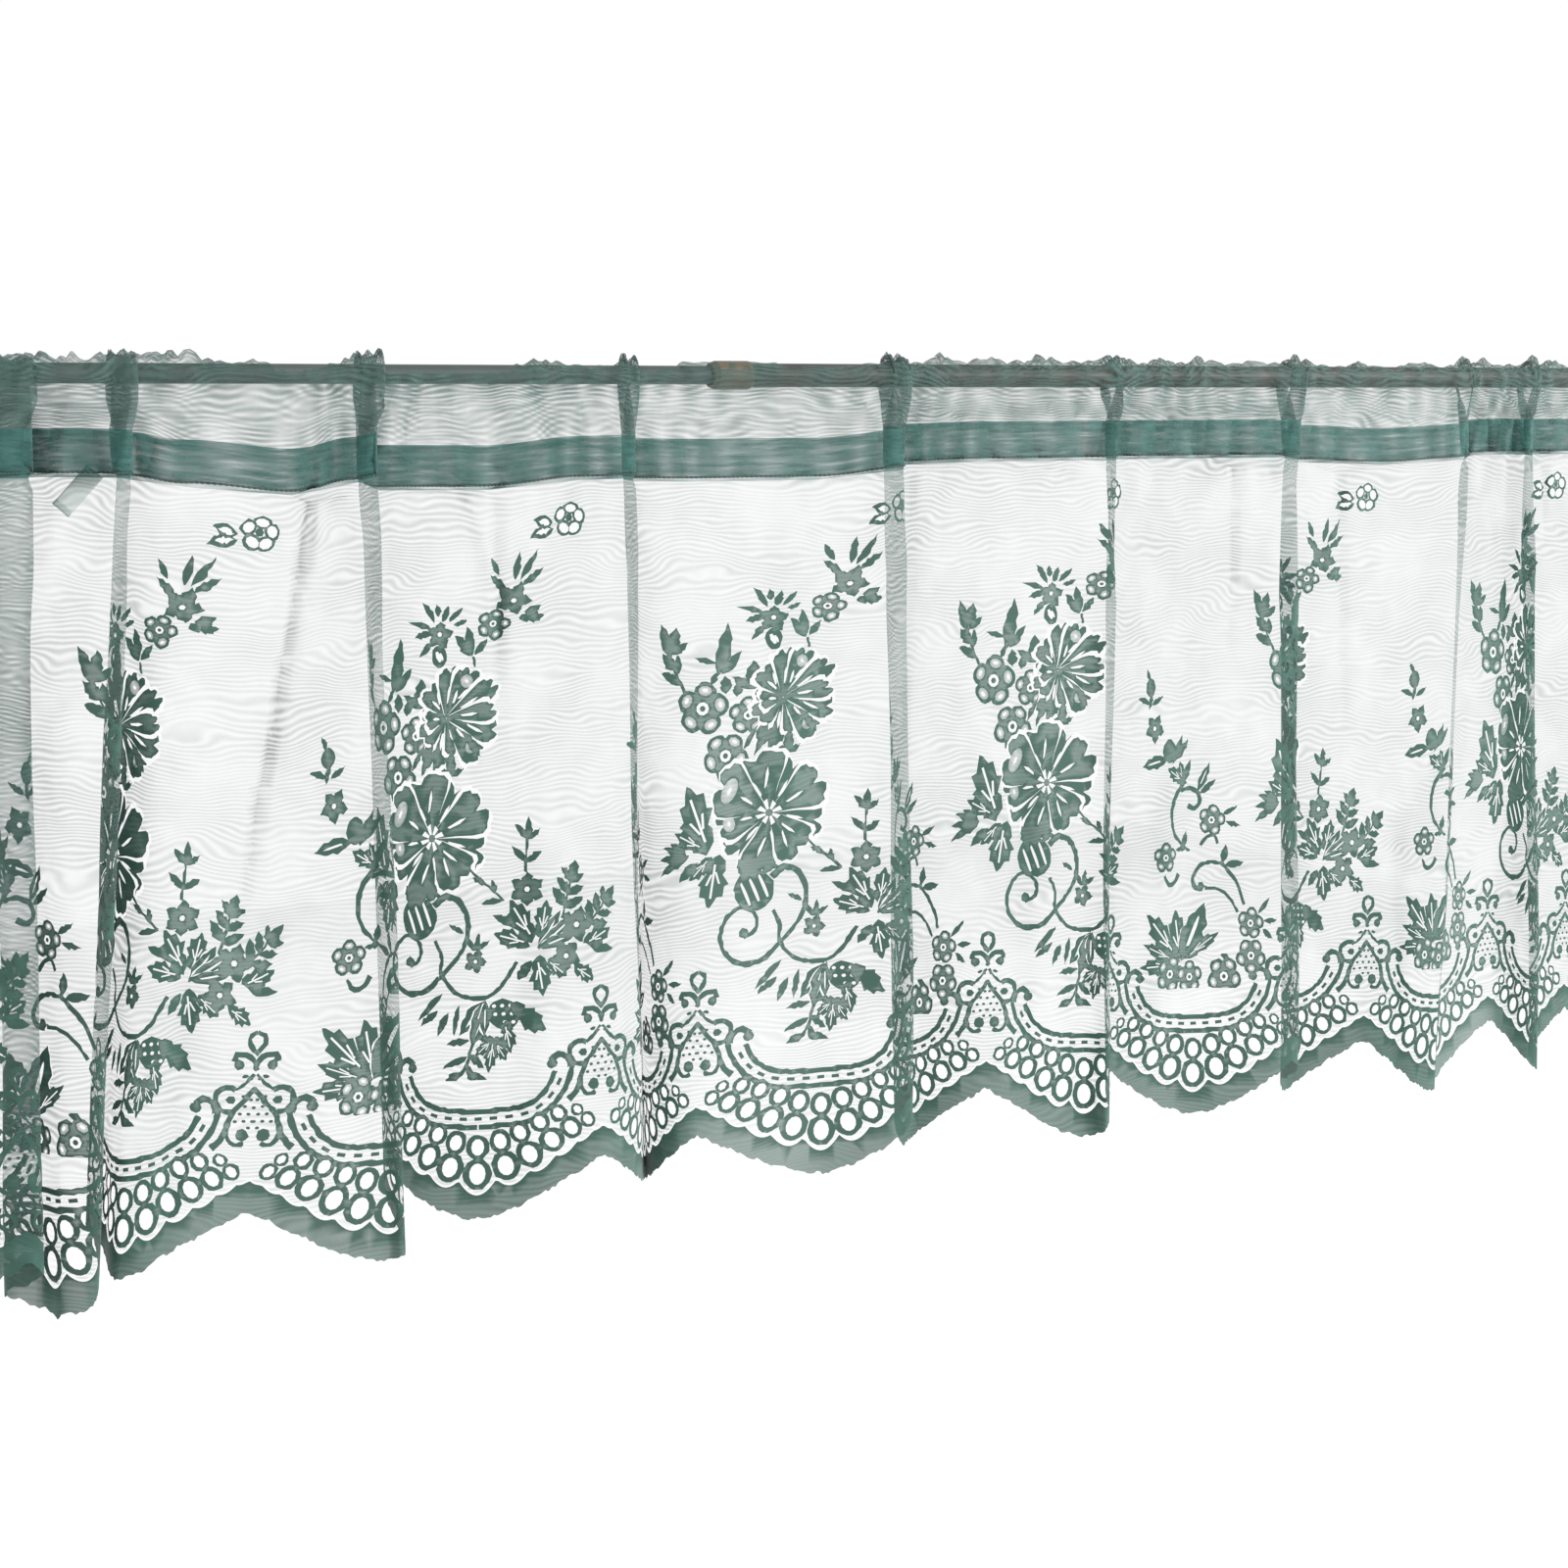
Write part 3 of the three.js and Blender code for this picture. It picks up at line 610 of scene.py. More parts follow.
def bouquet(across):
    m = Motif(across)
    # the trail that climbs to the stitch line
    for kind, wide, tall in ((CLOTHWORK, 5, 4.1), (OPENWORK, 3.4, 2.6)):
        for turn in (-64, 10, 78, 150, 214):
            m.disc(*m.off(51, 26, turn, 6), wide, tall, kind, turn, kind == CLOTHWORK)
    m.disc(51, 26, 2.2)
    for heading, reach in ((-104, 13), (-76, 11)):
        px, py = m.off(46, 29, heading, 6)
        m.leaf(px, py, heading, reach, 6.4)
        m.leaf(px - 1.6, py, heading, reach * 0.6, 3, OPENWORK)
    m.flower(17, 66, 10.5, 24)
    m.leaves_about(16, 62, 3.8, (-52, 13, 4), (-34, 10, 13), (12, 14, 8), (36, 17, 9), (58, 14, 8))
    m.rosette(5, 82, 10.5, 20)
    m.broad_leaf(21, 80, 88, 14, 10, vein=False)
    m.leaves((24, 76, 66, 10, 4.4), (-8, 99, -12, 15, 5.6), (-9, 99, -42, 13, 5), (-6, 99, 42, 10, 4))
    m.stroke([(-7, 100), (-6, 106)], 1.6)
    m.flower(-27, 88, 8, 4)
    m.leaves_about(-27, 86, 3.6, (-104, 10, 5), (-70, 15, 5), (-26, 16, 7), (-6, 8, 11), (14, 11, 7),
                   (38, 12, 9), (64, 8, 9), (218, 10, 8))
    m.disc(-27, 100, 4.4, 6.2, heading=-6)
    m.disc(-27.4, 100, 1.4, 3.4, OPENWORK, -24, False)
    m.disc(-25.6, 100, 0.8, 2.4, OPENWORK, -24, False)
    m.stroke([(-75, 128), (-81, 116), (-84, 106)], 1.9, 1.5)
    m.leaves((-84, 107, -18, 17, 6), (-83, 105, 12, 13, 6.4), (-83, 107, 54, 11, 4.6),
             (-81, 115, -42, 11, 6), (-79, 117, -2, 10, 4), (-78, 123, -62, 12, 5),
             (-56, 118, 10, 27, 7.4), (-54, 118, 40, 15, 5), (-58, 112, -76, 12, 3),
             (-60, 124, 24, 8, 3), (-58, 127, -70, 9, 3), (-52, 129, -6, 9, 6), (-46, 131, 4, 8, 5),
             (-38, 126, 2, 14, 7), (-38, 127, -58, 13, 4.6), (-38, 127, 62, 9, 4.6))
    m.rosette(-65, 137, 14.5, 8)
    m.rosette(-40, 142, 10.5, 0)
    m.rosette(-52, 163, 12.5, 34)
    m.fan(-22, 133, 25)
    m.leaves((-42, 160, 28, 15, 2.6), (-36, 163, 20, 18, 3), (-29, 162, 8, 16, 2.6),
             (-2, 153, -38, 16, 4.6), (-19, 163, 0, 12, 5.4), (-19, 163, 66, 8, 3),
             (-19, 163, -62, 6, 3))
    # the rose and the leaves behind it
    m.rose(-29, 192, 31)
    m.broad_leaves((-62, 210, -20, 36, 21), (-64, 209, -62, 20, 11), (-56, 214, 190, 28, 18),
                   (-60, 214, 226, 17, 9))
    for heading, reach in ((262, 17), (238, 20), (286, 15), (304, 12)):
        m.leaf(-74, 212, heading, reach, 4.8)
    m.leaf(-68, 216, 226, 14, 5)
    # the striped bud and the scroll
    m.disc(-36, 234, 10.5, 11.5, heading=-20)
    m.leaves((-40, 226, -24, 10, 6), (-30, 225, 18, 9, 6))
    for shift in (-5, 0, 5):
        slit = [(shift + u, v) for u, v in ((-0.5, -7), (0.6, -7), (1.1, 0), (0.6, 7), (-0.4, 6))]
        m.shape(OPENWORK, m.turned(-36, 234, -22, slit), stepped=False)
    m.stroke([(-27, 228), (-20, 223), (-12, 227), (-7.5, 237), (-9, 249), (-15, 258), (-23, 266)], 4, 2)
    m.leaf(-10, 243, -58, 9, 3)
    m.stroke([(-23, 266), (-31, 272), (-42, 273), (-51, 267), (-54, 257), (-50, 247), (-42, 243),
              (-35, 248), (-35, 256), (-41, 259)], 2.8, 2.2)
    m.disc(-41, 257, 2.8)
    m.stroke([(-26, 246), (-22, 255), (-22, 264), (-14, 273), (-4, 276), (6, 275), (14, 268),
              (20, 259)], 2, 2.4)
    m.flower(-3, 258, 6.5, 20)
    for heading in (-40, 12, 58):
        m.leaf(-3, 252, heading, 9, 2.8)
    # the cluster on the right
    m.sprig(24, 212, 4, 24, 2, 0.4)
    m.flower(25, 221, 9, 0, 6)
    m.stroke([(-8, 208), (-1, 215), (7, 221), (12, 226)], 1.6)
    m.leaves((2, 217, -64, 8, 3), (8, 222, -20, 7, 2.8), (12, 226, 262, 12, 3))
    m.broad_leaves((28, 248, -30, 25, 14), (26, 250, -72, 20, 12))
    m.leaf(18, 240, -62, 12, 4)
    m.broad_leaf(32, 246, 10, 19, 11)
    for heading, reach, wide in ((30, 20, 6), (52, 24, 6), (74, 20, 5.4)):
        m.leaf(32, 252, heading, reach, wide, vein=True, halo=0.7)
    m.sprig(44, 238, 14, 27, 3, 0.5)
    m.sprig(56, 246, 40, 26, 3, 0.5)
    m.flower(52, 242, 9.5, 16)
    m.broad_leaf(57, 252, 66, 17, 11)
    m.leaf(60, 254, 98, 14, 5)
    m.flower(46, 258, 8.5, 40)
    m.broad_leaves((51, 264, 122, 13, 9), (31, 257, 172, 20, 13), (36, 259, 132, 14, 9))
    m.leaf(27, 259, 214, 11, 5)
    # the pendant spray
    m.leaves((-22, 274, 226, 17, 3.4), (-24, 282, 236, 11, 3.4), (-18, 283, 206, 11, 3.4),
             (-12, 280, 190, 13, 3))
    for heading, reach, wide in ((222, 20, 8), (198, 22, 8), (180, 16, 5)):
        m.leaf(3, 278, heading, reach, wide, vein=True, halo=0.8)
    m.disc(13, 284, 8.5, 7, heading=20)
    for i, j in ((-1, -1), (0, -1), (1, -1), (-1, 0), (0, 0), (1, 0), (0, 1), (1, 1)):
        m.disc(13 + i * 4.4 + j * 0.8, 284 + j * 3.9, 1.2, 0.9, OPENWORK, 0, False)
    m.broad_leaf(17, 280, 124, 22, 12, vein=False)
    m.broad_leaf(14, 288, 168, 15, 9)
    m.stroke([(0, 286), (-4, 298), (-7, 308), (-12, 314)], 1.8)
    m.leaves((-6, 296, 262, 12, 3.2), (-7, 304, 248, 13, 3.4), (-5, 303, 128, 10, 3.6))
    m.lobed(8, 296, 190, 16, 44)
    m.leaves((-11, 311, 228, 10, 4.6), (-7, 308, 150, 13, 4), (-4, 312, 112, 10, 3.4))


def garden_spray(across):
    m = Motif(across)
    m.disc(-37, 147, 4, 5.4)
    m.leaves((-38, 143, -24, 7, 2.6), (-36, 150, 190, 10, 2.6), (-38, 156, -74, 9, 3.2),
             (-35, 157, 58, 9, 3))
    m.flower(-33, 170, 7.5, 30)
    m.leaf(-24, 186, 258, 18, 6, vein=True)
    m.disc(-21, 182, 5, 6)
    m.leaves((-18, 188, 26, 15, 4.6), (-16, 186, 44, 13, 4))
    m.broad_leaves((-10, 199, -56, 15, 9), (-10, 199, -14, 12, 6))
    m.leaf(-10, 199, 24, 13, 4.4)
    m.stroke([(-8, 198), (-16, 207), (-19, 217), (-17, 228), (-11, 235), (-4, 240)], 3.2, 1.6)
    m.leaves((-9, 237, 12, 9, 4), (-7, 238, 262, 8, 2.6))
    m.stroke([(-12, 204), (-4, 203), (2, 206), (3, 212), (-2, 215), (-6, 213)], 2.4, 3.4)
    m.leaf(2, 204, 28, 17, 4.6, vein=True)
    m.leaf(4, 206, 52, 13, 4)
    m.rosette(12, 222, 9.5, 14)
    m.leaves((20, 219, 60, 10, 3), (22, 223, 106, 9, 3))
    m.stroke([(4, 237), (9, 232), (14, 231), (16, 236)], 2.4, 2)
    m.rosette(-23, 243, 8.8, 0)
    m.stroke([(-24, 254), (-20, 259), (-15, 258), (-12, 253)], 1.8, 3)
    m.stroke([(6, 263), (1, 262), (-1, 256), (4, 249), (12, 247), (20, 248)], 3.2, 1.8)
    m.disc(5, 261, 2.6)
    m.stroke([(18, 247), (25, 254), (30, 262), (33, 271)], 2.4, 1.8)
    m.stroke([(8, 262), (17, 263), (24, 268), (29, 275)], 2.2, 1.6)
    m.leaves((20, 247, 6, 10, 4.4), (22, 249, 78, 11, 4.2))
    m.rosette(37, 281, 8.5, 10)
    m.leaves((42, 276, 44, 11, 2.8), (46, 280, 84, 9, 2.8), (45, 284, 128, 8, 2.8))
    m.rosette(37, 298, 9.5, 36)
    m.leaf(24, 300, 292, 6, 3)
    m.broad_leaves((-12, 299, -44, 34, 14), (-10, 300, -10, 27, 15))
    m.leaf(-8, 299, 28, 31, 14, vein=True, halo=0.8)
    m.broad_leaves((-6, 299, 60, 27, 8), (-14, 300, 292, 25, 8), (-14, 302, 268, 25, 10))
    m.rosette(-17, 307, 10, 20)
    m.rosette(-3, 309, 9, 0)
    m.rosette(20, 309, 10.5, 30)
    m.leaves((-6, 320, 262, 12, 4), (0, 321, 100, 13, 2.8), (-2, 319, 190, 5, 3))


# the picot line's lowest level and its rise between scallops; the arch's, and its ladder
PICOT, PICOT_RISE = 383.5, 36.5
ARCH_LEVEL, LADDER_HALF, DASH_STEP = 343.6, 4.3, 8.2
# the loops of half a scallop: how far from its middle, and how tall
LOOPS = ((0, 31), (16.6, 29), (29.6, 27), (41.6, 25), (52, 22.5), (60.6, 17))
ARCH = ((0, 0), (12, 0.3), (22, 1.8), (30, 5.2), (36.5, 10.5), (41, 17), (44, 24), (45, 30))


def picot_base(across):
    return PICOT - PICOT_RISE * scallop_rise(across)


def picot_drop(across):
    """The open picot line above the solid border: it dips round the foot of every loop."""
    across = np.asarray(across, float)
    away = np.abs((across / REPEAT * 2 + 0.5) % 1 - 0.5) * REPEAT / 2
    return np.max([float(picot_base(place)) + 1.2 - 0.085 * (away - place) ** 2
                   for place, _ in LOOPS], axis=0)


def edging(middle):
    """One scallop: the laddered arch, the row of figure-eight loops, and the bough between scallops."""
    for hand in (False, True):
        m = Motif(middle, hand, even=True)
        arch = np.array([m.at(x, ARCH_LEVEL - y) for x, y in ARCH]) * (m.hand, 1) - (m.hand * middle, 0)
        run = np.gradient(arch, axis=0)
        run /= np.hypot(run[:, 0], run[:, 1])[:, None]
        below = np.stack([-run[:, 1], run[:, 0]], 1)
        m.stroke([*(arch + below * LADDER_HALF)], 3, 2.9, step=2.6)
        m.stroke([*(arch - below * LADDER_HALF)][:-1], 3, 2.9, step=2.6)
        m.stroke([(47.5, 317), (46, 311.6), (41.5, 309.6), (37.6, 312.6)], 2.6, 3.6, step=2)
        m.disc(38.2, 314.4, 3)
        length = np.concatenate([[0], np.cumsum(np.hypot(*np.diff(arch, axis=0).T))])
        for place in np.arange(hand * DASH_STEP, 53, DASH_STEP):
            x, y = (np.interp(place, length, arch[:, i]) for i in (0, 1))
            tilt = math.degrees(math.atan2(*(np.interp(place, length, run[:, i]) for i in (0, 1))))
            dash = [(-0.95, -2), (0.95, -2), (0.95, 2), (-0.95, 2)]
            m.shape(CLOTHWORK, m.turned(x, y, 180 - tilt, dash), smooth=False, stepped=False)
        # two rings one above the other, touching their neighbours
        for hollow in (False, True):
            for away, tall in LOOPS[hand:]:
                tilt = -0.74 * away
                for share, high, across in ((0.28, 0.29, 0.255), (0.76, 0.23, 0.205)):
                    px, py = m.off(away, float(picot_base(middle + away)) - 0.6, tilt, tall * share)
                    if hollow:
                        m.disc(px, py, tall * across * 0.56, tall * high * 0.66, OPENWORK, tilt, False)
                    else:
                        m.disc(px, py, tall * across, tall * high, heading=tilt)
        # half of the bough between two scallops
        b = Motif(middle + (-REPEAT if hand else REPEAT) / 4, not hand, even=True)
        b.stroke([(0, 274.5), (-3.4, 276.5), (-3.8, 280.4), (-1.4, 284), (0.6, 285.6)], 2.5, 2.4, step=2)
        b.stroke([(0.5, 294), (-1.4, 289), (-5, 286.4), (-9.6, 286.6), (-10.6, 290.2)], 2.4, 3, step=2)
        b.disc(-8.2, 291.6, 2.9)
        b.stroke([(-0.6, 296), (-4.6, 300.6), (-9.4, 304.4)], 1.7, 1.7, step=2)
        b.stroke([(-3.6, 297), (-6.6, 297.8)], 1.5)
        b.stroke([(-9.4, 304.4), (-14, 303.4), (-18, 306), (-18.8, 311), (-15.6, 315.4),
                  (-11, 315.6)], 2.6, 3, step=2)
        b.disc(-11.4, 309.6, 2.6)
        b.stroke([(0.4, 303), (-5, 309.6), (-10.4, 316.4), (-12.6, 322.6), (-14.4, 328.6),
                  (-19.6, 335)], 2.2, 3.4)
        b.stroke([(-12.6, 322), (-12.6, 328.4), (-9, 332.4), (-4, 331.6)], 2, 2.6, step=2)
        b.disc(-5.2, 327.4, 3.4)
        for dx, dy in ((-1.6, 309), (-4.4, 312.6), (0, 313), (-2.4, 316.4), (-6.6, 316.6), (-0.4, 320),
                       (-4.6, 320.2), (-8.8, 320.6), (-2.2, 323.4), (-2.2, 298.4), (-5.4, 307.6)):
            b.disc(dx, dy, 1.15, 0.85, stepped=False)


left_edge, right_edge = flat_top[0] * REPEAT, flat_top[-1] * REPEAT
fray = random.Random(11)
hem_line = []
for x in np.arange(left_edge, right_edge + 0.8, 1.7):
    x = min(x, right_edge)
    loose_ends = 0.9 * fray.uniform(-1, 1) + 0.5 * math.sin(x / 2.3)
    hem_line.append((x, float(scallop_drop(x)) - 0.9 + loose_ends))
hem_line[-1] = (right_edge, hem_line[-1][1])
border_top = [(x, float(picot_drop(x)) + 1.3) for x in np.arange(left_edge, right_edge + 0.5, 1.6)]
border_top[-1] = (right_edge, border_top[-1][1])
work(CLOTHWORK, border_top + hem_line[::-1], stepped=False)
for place in np.arange(-0.5, 6.6, 0.5):
    edging(place * REPEAT)
for place in range(-1, 8):
    bouquet(place * REPEAT)
    garden_spray((place + 0.5) * REPEAT)
work(OPENWORK, [(x, y - 1.2) for x, y in border_top] + border_top[::-1], stepped=False)
work(BANDWORK, [(left_edge, 2.2), (right_edge, 2.2), (right_edge, -BAND_TOP), (left_edge, -BAND_TOP)],
     stepped=False)
work(BANDWORK, [(left_edge, -BACK_BAND), (right_edge, -BACK_BAND), (right_edge, -TUCK_END),
                (left_edge, -TUCK_END)], stepped=False)


# How far apart the cloth's columns of points stand within a narrow fold and within a wide one,
# and how wide a narrow fold is; the step of its rows; the narrowest figure that is worked.
CLOSE_STEP, WIDE_STEP, NARROW, ROW_STEP, LEAST_FIGURE = 3.3, 7.5, 40, 11, 0.7


def columns():
    """Flat lines that run down the cloth with the folds, closest where it turns sharply."""
    lines = []
    for i in range(len(flat_top) - 1):
        wide = ((flat_top[i + 1] - flat_top[i]) + (flat_hem[i + 1] - flat_hem[i])) / 2 * REPEAT
        count = max(4, round(wide / (CLOSE_STEP if wide < NARROW else WIDE_STEP)))
        for j in range(count):
            share = j / count
            top = flat_top[i] + (flat_top[i + 1] - flat_top[i]) * share
            hem = flat_hem[i] + (flat_hem[i + 1] - flat_hem[i]) * share
            lines.append((top * REPEAT, hem * REPEAT, j == 0))
    return lines + [(right_edge, right_edge, True)]


rows = [-TUCK_END, -134, -BACK_STITCH - 2, -BACK_STITCH, -115, -108, -BACK_BAND, -95, -89,
        -BACK_SIDE, -77.5, -POCKET_CROWN, -69, -66, -63.5, -61, -58.5, -56, -53, -POCKET_SIDE, -44.5,
        -POCKET_LOW, -33, -27, -BAND_TOP, -15, -8, 0, *np.arange(8, 398, ROW_STEP)]
points, ties = [], []


def tie(outline):
    """An outline that the triangles have to follow."""
    start, count = len(points), len(outline)
    points.extend(outline)
    ties.extend((start + k, start + (k + 1) % count) for k in range(count))


def inside(outline, x, y):
    """Which of the points lie within an outline, by its winding about them."""
    ring = np.array(outline)
    winding = np.zeros(len(x), int)
    for (ax, ay), (bx, by) in zip(ring, np.roll(ring, -1, 0)):
        left = (bx - ax) * (y - ay) - (x - ax) * (by - ay)
        winding += (ay <= y) & (by > y) & (left > 0)
        winding -= (ay > y) & (by <= y) & (left < 0)
    return winding != 0


def add_piece(name, corners, faces):
    """Puts a new mesh into the scene, smooth all over."""
    new = bpy.data.meshes.new(name)
    new.from_pydata(corners, [], faces)
    new.polygons.foreach_set("use_smooth", [True] * len(faces))
    piece = bpy.data.objects.new(name, new)
    scene.collection.objects.link(piece)
    return piece


tie([(left_edge, -TUCK_END), (right_edge, -TUCK_END)] + hem_line[::-1])
shown = []
for kind, outline in figures:
    outline = [(min(max(x, left_edge), right_edge), y) for x, y in outline]
    if max(x for x, y in outline) - min(x for x, y in outline) > LEAST_FIGURE:
        tie(outline)
        shown.append((kind, outline))
for top, hem, tied in columns():
    start = len(points)
    for level in rows:
        share = min(max(level / FLAT_DROP, 0), 1)
        points.append((top + (hem - top) * share, level))
    if tied:
        ties.extend((start + k, start + k + 1) for k in range(len(rows) - 1))
for flat_a, drop_a, flat_b, drop_b, _, width in TUCKS:      # creases and ruffles need closer points
    for off in (-1.7, -0.8, 0, 0.8, 1.7):
        for share in np.linspace(0, 1, max(4, round((drop_b - drop_a) / 9))):
            place = (flat_a + (flat_b - flat_a) * share) * REPEAT + off * width
            points.append((min(max(place, left_edge), right_edge), drop_a + (drop_b - drop_a) * share))
for place in np.arange(left_edge + 1, right_edge, 2.7):
    points.extend((place, -up) for up in (52, 57.2, 61.2, 65, 70))
verts, _, tris, _, _, _ = delaunay_2d_cdt([Vector(p) for p in points], ties, [], 0, 1e-4, False)
flat_points = np.array([tuple(v) for v in verts])
tris = np.array(tris)
middle = flat_points[tris].mean(1)
hem_x, hem_y = np.array(hem_line).T
tris = tris[(middle[:, 1] < np.interp(middle[:, 0], hem_x, hem_y)) & (middle[:, 1] > -TUCK_END)]
middle = flat_points[tris].mean(1)
order = np.argsort(middle[:, 0])
tris, middle = tris[order], middle[order]
looks = np.full(len(tris), NET)
for kind, outline in shown:
    low, high = min(outline)[0], max(outline)[0]
    near = np.arange(*np.searchsorted(middle[:, 0], (low, high)))
    within = inside(outline, middle[near, 0], middle[near, 1])
    looks[near[within]] = kind
used = np.unique(tris)
renumber = np.full(len(flat_points), -1)
renumber[used] = np.arange(len(used))
kept = renumber[tris]
flat_points = flat_points[used]
flat_x, flat_y = flat_points.T
curtain = add_piece("lace_curtain", drape(flat_x, flat_y).tolist(), kept.tolist())
mesh = curtain.data
mesh.polygons.foreach_set("material_index", looks)
flat_map = mesh.uv_layers.new(name="flat")
flat_map.data.foreach_set("uv", (flat_points[kept.ravel()] * (MM, -MM)).ravel())
mesh.validate()

# Where figures end, their threads turn back and pack together; where the cloth runs away from the
# room, or is pushed together, more thread covers what is behind it. Along the creases' troughs and
# ridges the cloth is drawn denser still, and so darker: painted shade.
count = len(flat_points)
solid = np.zeros(count, bool)
thin = np.zeros(count, bool)
solid[kept[looks == CLOTHWORK]] = True
thin[kept[looks != CLOTHWORK]] = True
hung = np.array([p.normal[:] for p in mesh.polygons])
flat_corner = flat_points[kept]
edge_a, edge_b = flat_corner[:, 1] - flat_corner[:, 0], flat_corner[:, 2] - flat_corner[:, 0]
flat_area = np.abs(edge_a[:, 0] * edge_b[:, 1] - edge_a[:, 1] * edge_b[:, 0]) / 2
hung_area = np.array([p.area for p in mesh.polygons]) / MM ** 2
crowding = np.clip(flat_area / np.maximum(hung_area, 1e-6), 0.8, 1.5)
crowding /= np.maximum(np.abs(hung[:, 1]), 0.14)
weight = np.bincount(kept.ravel(), np.repeat(hung_area, 3), count)
packed_and_crease_shade = np.bincount(kept.ravel(), np.repeat(crowding * hung_area, 3), count) / np.maximum(weight, 1e-9)
# painted shade: the creases' troughs and ridges are drawn denser, and so darker
packed_and_crease_shade = np.minimum(packed_and_crease_shade, 2.3) * (1 + 0.16 * np.abs(tuck_depth(flat_x / REPEAT, flat_y)))
packed_and_crease_shade *= np.interp(flat_x / REPEAT, [0.3, 0.45], [1.6, 1])
streaks = np.sin(flat_x / 3.4 + 2.2 * np.sin(flat_x / 19) + 0.07 * flat_y)
packed_and_crease_shade *= 1 + 0.42 * streaks * (flat_y < 0)
packed_and_crease_shade *= np.interp(-flat_y, [BAND_TOP, BAND_TOP + 4, POCKET_LOW, POCKET_SIDE, POCKET_CROWN,
                              BACK_SIDE, BACK_BAND, BACK_BAND + 4],
                    [1, 2.2, 2.2, 3.4, 3.4, 2.2, 2.2, 1])
for label, values in (("rim", (solid & thin).astype(float)), ("packed_and_crease_shade", packed_and_crease_shade)):
    mesh.attributes.new(label, "FLOAT", "POINT").data.foreach_set("value", values)


def lace(name, cover, ripple, thread, pale, edge=0.0, streak=0.0):
    """Lace worked one way: how much thread covers, how far its courses open, and its colours."""
    finish = Finish(name, Roughness=0.8, Sheen_Weight=0.1, Sheen_Roughness=0.5)
    flat = finish.node("ShaderNodeUVMap", {"uv_map": "flat"}, {}, "UV")
    y = finish.axis(flat, "Y")
    rim = finish.node("ShaderNodeAttribute", {"attribute_name": "rim"}, {}, "Fac")
    # this attribute also carries the painted crease shade, drawn as denser thread
    crowd_and_crease_shade = finish.node("ShaderNodeAttribute", {"attribute_name": "packed_and_crease_shade"}, {}, "Fac")
    crowd_and_crease_shade = finish.node("ShaderNodeClamp", {}, {"Value": crowd_and_crease_shade, "Min": 0.7, "Max": 6.0})
    sway = finish.noise(finish.stretch(flat, (13, 26, 1)), 1.0, 2.0) * 0.036
    patch = finish.between(finish.noise(flat, 22.0, 2.0), 0.36, 0.62)
    courses = ((y + sway) * (2 * math.pi / 0.0026)).wave()
    cloud = finish.noise(flat, 90.0, 2.0)
    body = courses * (patch * 0.65 + 0.35) * ripple + (cloud - 0.5) * (ripple * 0.5) + cover + rim * edge
    if streak:
        long = finish.noise(finish.stretch(flat, (34, 430, 1)), 1.0, 2.0)
        body = body + (finish.between(long, 0.32, 0.7) - 0.5) * streak
    body = finish.node("ShaderNodeClamp", {}, {"Value": 1 - body, "Min": 0.02, "Max": 1.0})
    return finish.dress(
        Base_Color=finish.mix(finish.between(cloud, 0.34, 0.66) * (1 - rim * 0.9), thread, pale),
        Alpha=1 - body ** crowd_and_crease_shade,
        Normal=finish.bump(courses, 0.0003, 0.4))


GREEN, PALE_GREEN = (0.02, 0.068, 0.051, 1), (0.032, 0.094, 0.073, 1)
GREY, PALE_GREY = (0.04, 0.092, 0.078, 1), (0.06, 0.115, 0.1, 1)
BAND, PALE_BAND = (0.014, 0.078, 0.066, 1), (0.032, 0.115, 0.1, 1)
for material in (lace("lace_net", 0.078, 0.23, GREY, PALE_GREY),
                 lace("lace_clothwork", 0.8, 0.08, GREEN, PALE_GREEN, edge=0.2),
                 lace("lace_halfwork", 0.34, 0.12, GREEN, PALE_GREEN, edge=0.2),
                 lace("lace_openwork", 0.03, 0.04, GREY, PALE_GREY),
                 lace("lace_band", 0.47, 0.1, BAND, PALE_BAND, streak=0.4)):
    mesh.materials.append(material)
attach(curtain, "root")
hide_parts("curtain_panel")


# ---------- Stitching ----------
# The lock-stitched seam below the pocket: dark green sewing thread lying on the band's face,
# each stitch a short ridge that dips into the cloth at its ends.
STITCH_LENGTH, THREAD, THREAD_SIDES = 2.6, 0.42, 5
seam_points, seam_faces = [], []
stations = np.arange(left_edge + 1, right_edge - 1, STITCH_LENGTH / 4)
level = np.full(len(stations), -0.2)
centre = drape(stations, level)
ahead = drape(stations + 0.5, level) - drape(stations - 0.5, level)
run = np.hypot(ahead[:, 0], ahead[:, 1]) + 1e-12
out = np.stack([ahead[:, 1] / run, -ahead[:, 0] / run, np.zeros(len(run))], 1)
for i, (place, face) in enumerate(zip(centre, out)):
    swelling = THREAD * (0.55, 0.95, 1.1, 0.95)[i % 4] * MM
    for k in range(THREAD_SIDES):
        a = 2 * math.pi * k / THREAD_SIDES
        seam_points.append(place + face * (0.35 * MM + swelling * math.cos(a))
                           + np.array([0, 0, 1.5 * swelling * math.sin(a)]))
    if i:
        here, last = i * THREAD_SIDES, (i - 1) * THREAD_SIDES
        for k in range(THREAD_SIDES):
            after = (k + 1) % THREAD_SIDES
            seam_faces.append((last + k, last + after, here + after, here + k))
seam = add_piece("stitching", [tuple(p) for p in seam_points], seam_faces)
twine = Finish("sewing_thread", Roughness=0.6)
ply = ((twine.axis(twine.place(), "X") + twine.axis(twine.place(), "Z")) * 9000.0).wave()
seam.data.materials.append(twine.dress(
    Base_Color=twine.mix(ply, (0.012, 0.035, 0.03, 1), (0.03, 0.07, 0.06, 1)),
    Normal=twine.bump(ply, 0.0001, 0.6)))
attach(seam, "root")
# the curtain's flat cut: its width and its length, in metres
CUT = ((right_edge - left_edge) * MM, (FLAT_DROP + TUCK_END) * MM)
CUT[0] * (CUT[1] - SCALLOP / 2 * MM)


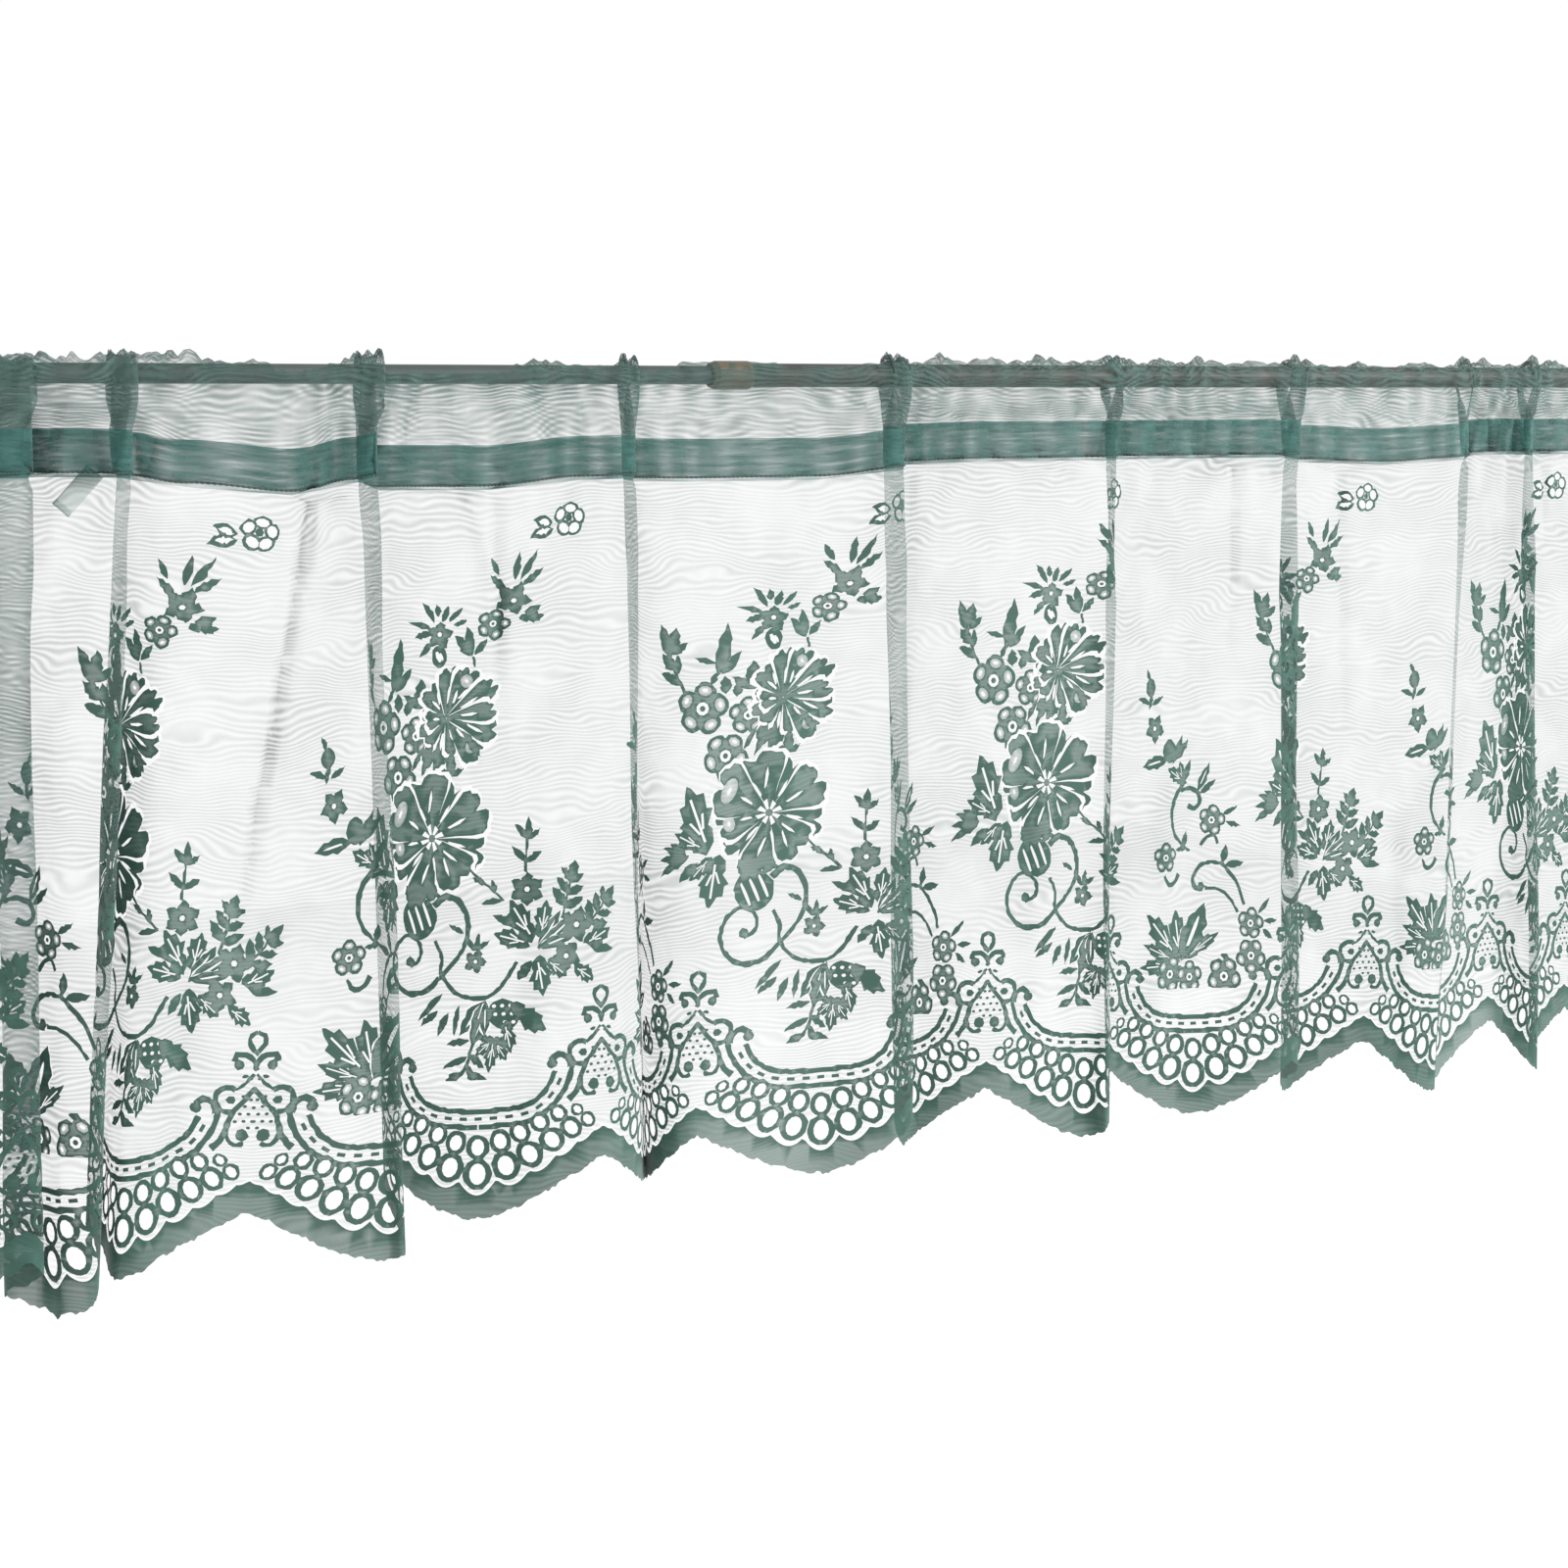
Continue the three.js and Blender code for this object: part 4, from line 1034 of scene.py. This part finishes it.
# ---------- Care label ----------
# A blank strip of pale woven tape caught in the stitching behind the left fold. Its lower end is
# turned up and pressed flat, and it hangs askew with a slight curl.
TAPE = (0.01, 0.026)        # its width and length
TAPE_ROWS, TAPE_COLUMNS = 24, 8
box_low, box_high = (Vector(c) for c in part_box("care_label"))
tape_middle = (box_low + box_high) / 2
tape_lean = math.radians(42)
down = Vector((-math.sin(tape_lean), 0, -math.cos(tape_lean)))
across_tape = Vector((math.cos(tape_lean), 0, -math.sin(tape_lean)))
row_points = TAPE_COLUMNS + 1
face_points = (TAPE_ROWS + 1) * row_points
tape_points, tape_faces = [], []
for side, depth in ((-1, 0.00016), (1, -0.00016)):
    for i in range(TAPE_ROWS + 1):
        for j in range(row_points):
            along, over = i / TAPE_ROWS - 0.5, j / TAPE_COLUMNS - 0.5
            fold = 0.00022 if i > 20 else 0.0
            curl = 0.0011 * (along + 0.3) ** 2 + 0.0007 * over * over * 4 * (along + 0.5)
            tape_points.append(tape_middle + down * (along * TAPE[1] * 0.96)
                               + across_tape * (over * TAPE[0])
                               + Vector((0, curl + depth + fold * side * -1, 0)))
for i in range(TAPE_ROWS):
    for j in range(TAPE_COLUMNS):
        a = i * row_points + j
        b, c = a + row_points, a + face_points
        tape_faces += [(a, b, b + 1, a + 1), (c, c + 1, c + row_points + 1, c + row_points)]
tape_edge = [*range(TAPE_COLUMNS), *range(TAPE_COLUMNS, face_points - 1, row_points),
             *range(face_points - 1, face_points - row_points, -1),
             *range(face_points - row_points, 0, -row_points)]
tape_faces += [(a, b, b + face_points, a + face_points)
               for a, b in zip(tape_edge, tape_edge[1:] + tape_edge[:1])]
label = add_piece("care_tape", [tuple(p) for p in tape_points], tape_faces)
tape_flat = label.data.uv_layers.new(name="flat")
for loop in label.data.loops:
    i, j = divmod(loop.vertex_index % face_points, row_points)
    tape_flat.data[loop.index].uv = (j / TAPE_COLUMNS * TAPE[0], i / TAPE_ROWS * TAPE[1])
tape = Finish("label_tape", Roughness=0.7, Sheen_Weight=0.1)
tape_uv = tape.node("ShaderNodeUVMap", {"uv_map": "flat"}, {}, "UV")
lengthwise, crosswise = tape.axis(tape_uv, "Y"), tape.axis(tape_uv, "X")
threads = (lengthwise * 9000.0).wave() * 0.5 + (crosswise * 9000.0).wave() * 0.5
# the turned-up end: a raised step in the bump, and painted darker as painted shade of the doubled tape
turned_up_and_shade = tape.between(lengthwise, TAPE[1] * 0.86, TAPE[1] * 0.9)
label.data.materials.append(tape.dress(
    Base_Color=tape.mix(turned_up_and_shade * 0.6 + threads * 0.15, (0.6, 0.64, 0.63, 1), (0.3, 0.35, 0.34, 1)),
    Normal=tape.bump(threads + turned_up_and_shade, 0.0001, 0.6)))
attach(label, "root")
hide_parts("care_label")


# ---------- Floor and light ----------
# A plain pale floor well below the hem, a bright white surround and one broad soft light
# from the right of the camera.
FLOOR_LEVEL, FLOOR_HALF = -0.9, 3.0
SURROUND_STRENGTH = 1.02
KEY_PLACE, KEY_AIM, KEY_WIDTH, KEY_WATTS = (2.6, -2.0, 0.9), (0.55, 0, -0.2), 1.0, 105
floor_mesh = bpy.data.meshes.new("floor")
floor_mesh.from_pydata([(x * FLOOR_HALF, y * FLOOR_HALF, FLOOR_LEVEL)
                        for x, y in ((-1, -1), (1, -1), (1, 1), (-1, 1))], [], [(0, 1, 2, 3)])
floor = bpy.data.objects.new("floor", floor_mesh)
floor_paint = Finish("floor_paint", Base_Color=(0.86, 0.86, 0.86, 1), Roughness=0.9)
floor_mesh.materials.append(floor_paint.material)
scene.collection.objects.link(floor)

surround = bpy.data.worlds.new("surround")
surround.use_nodes = True
sky = surround.node_tree.nodes["Background"].inputs
sky["Color"].default_value = (1, 1, 1, 1)
sky["Strength"].default_value = SURROUND_STRENGTH
scene.world = surround

key = bpy.data.lights.new("key", "AREA")
key.shape, key.size, key.energy = "DISK", KEY_WIDTH, KEY_WATTS
key_object = bpy.data.objects.new("key", key)
key_object.location = KEY_PLACE
key_aim = Vector(KEY_AIM) - key_object.location
key_object.rotation_euler = key_aim.to_track_quat("-Z", "Y").to_euler()
scene.collection.objects.link(key_object)

scene.view_settings.view_transform = "Standard"
scene.view_settings.look = "None"
scene.view_settings.exposure = 0
scene.view_settings.gamma = 1
scene.cycles.transparent_max_bounces = 32
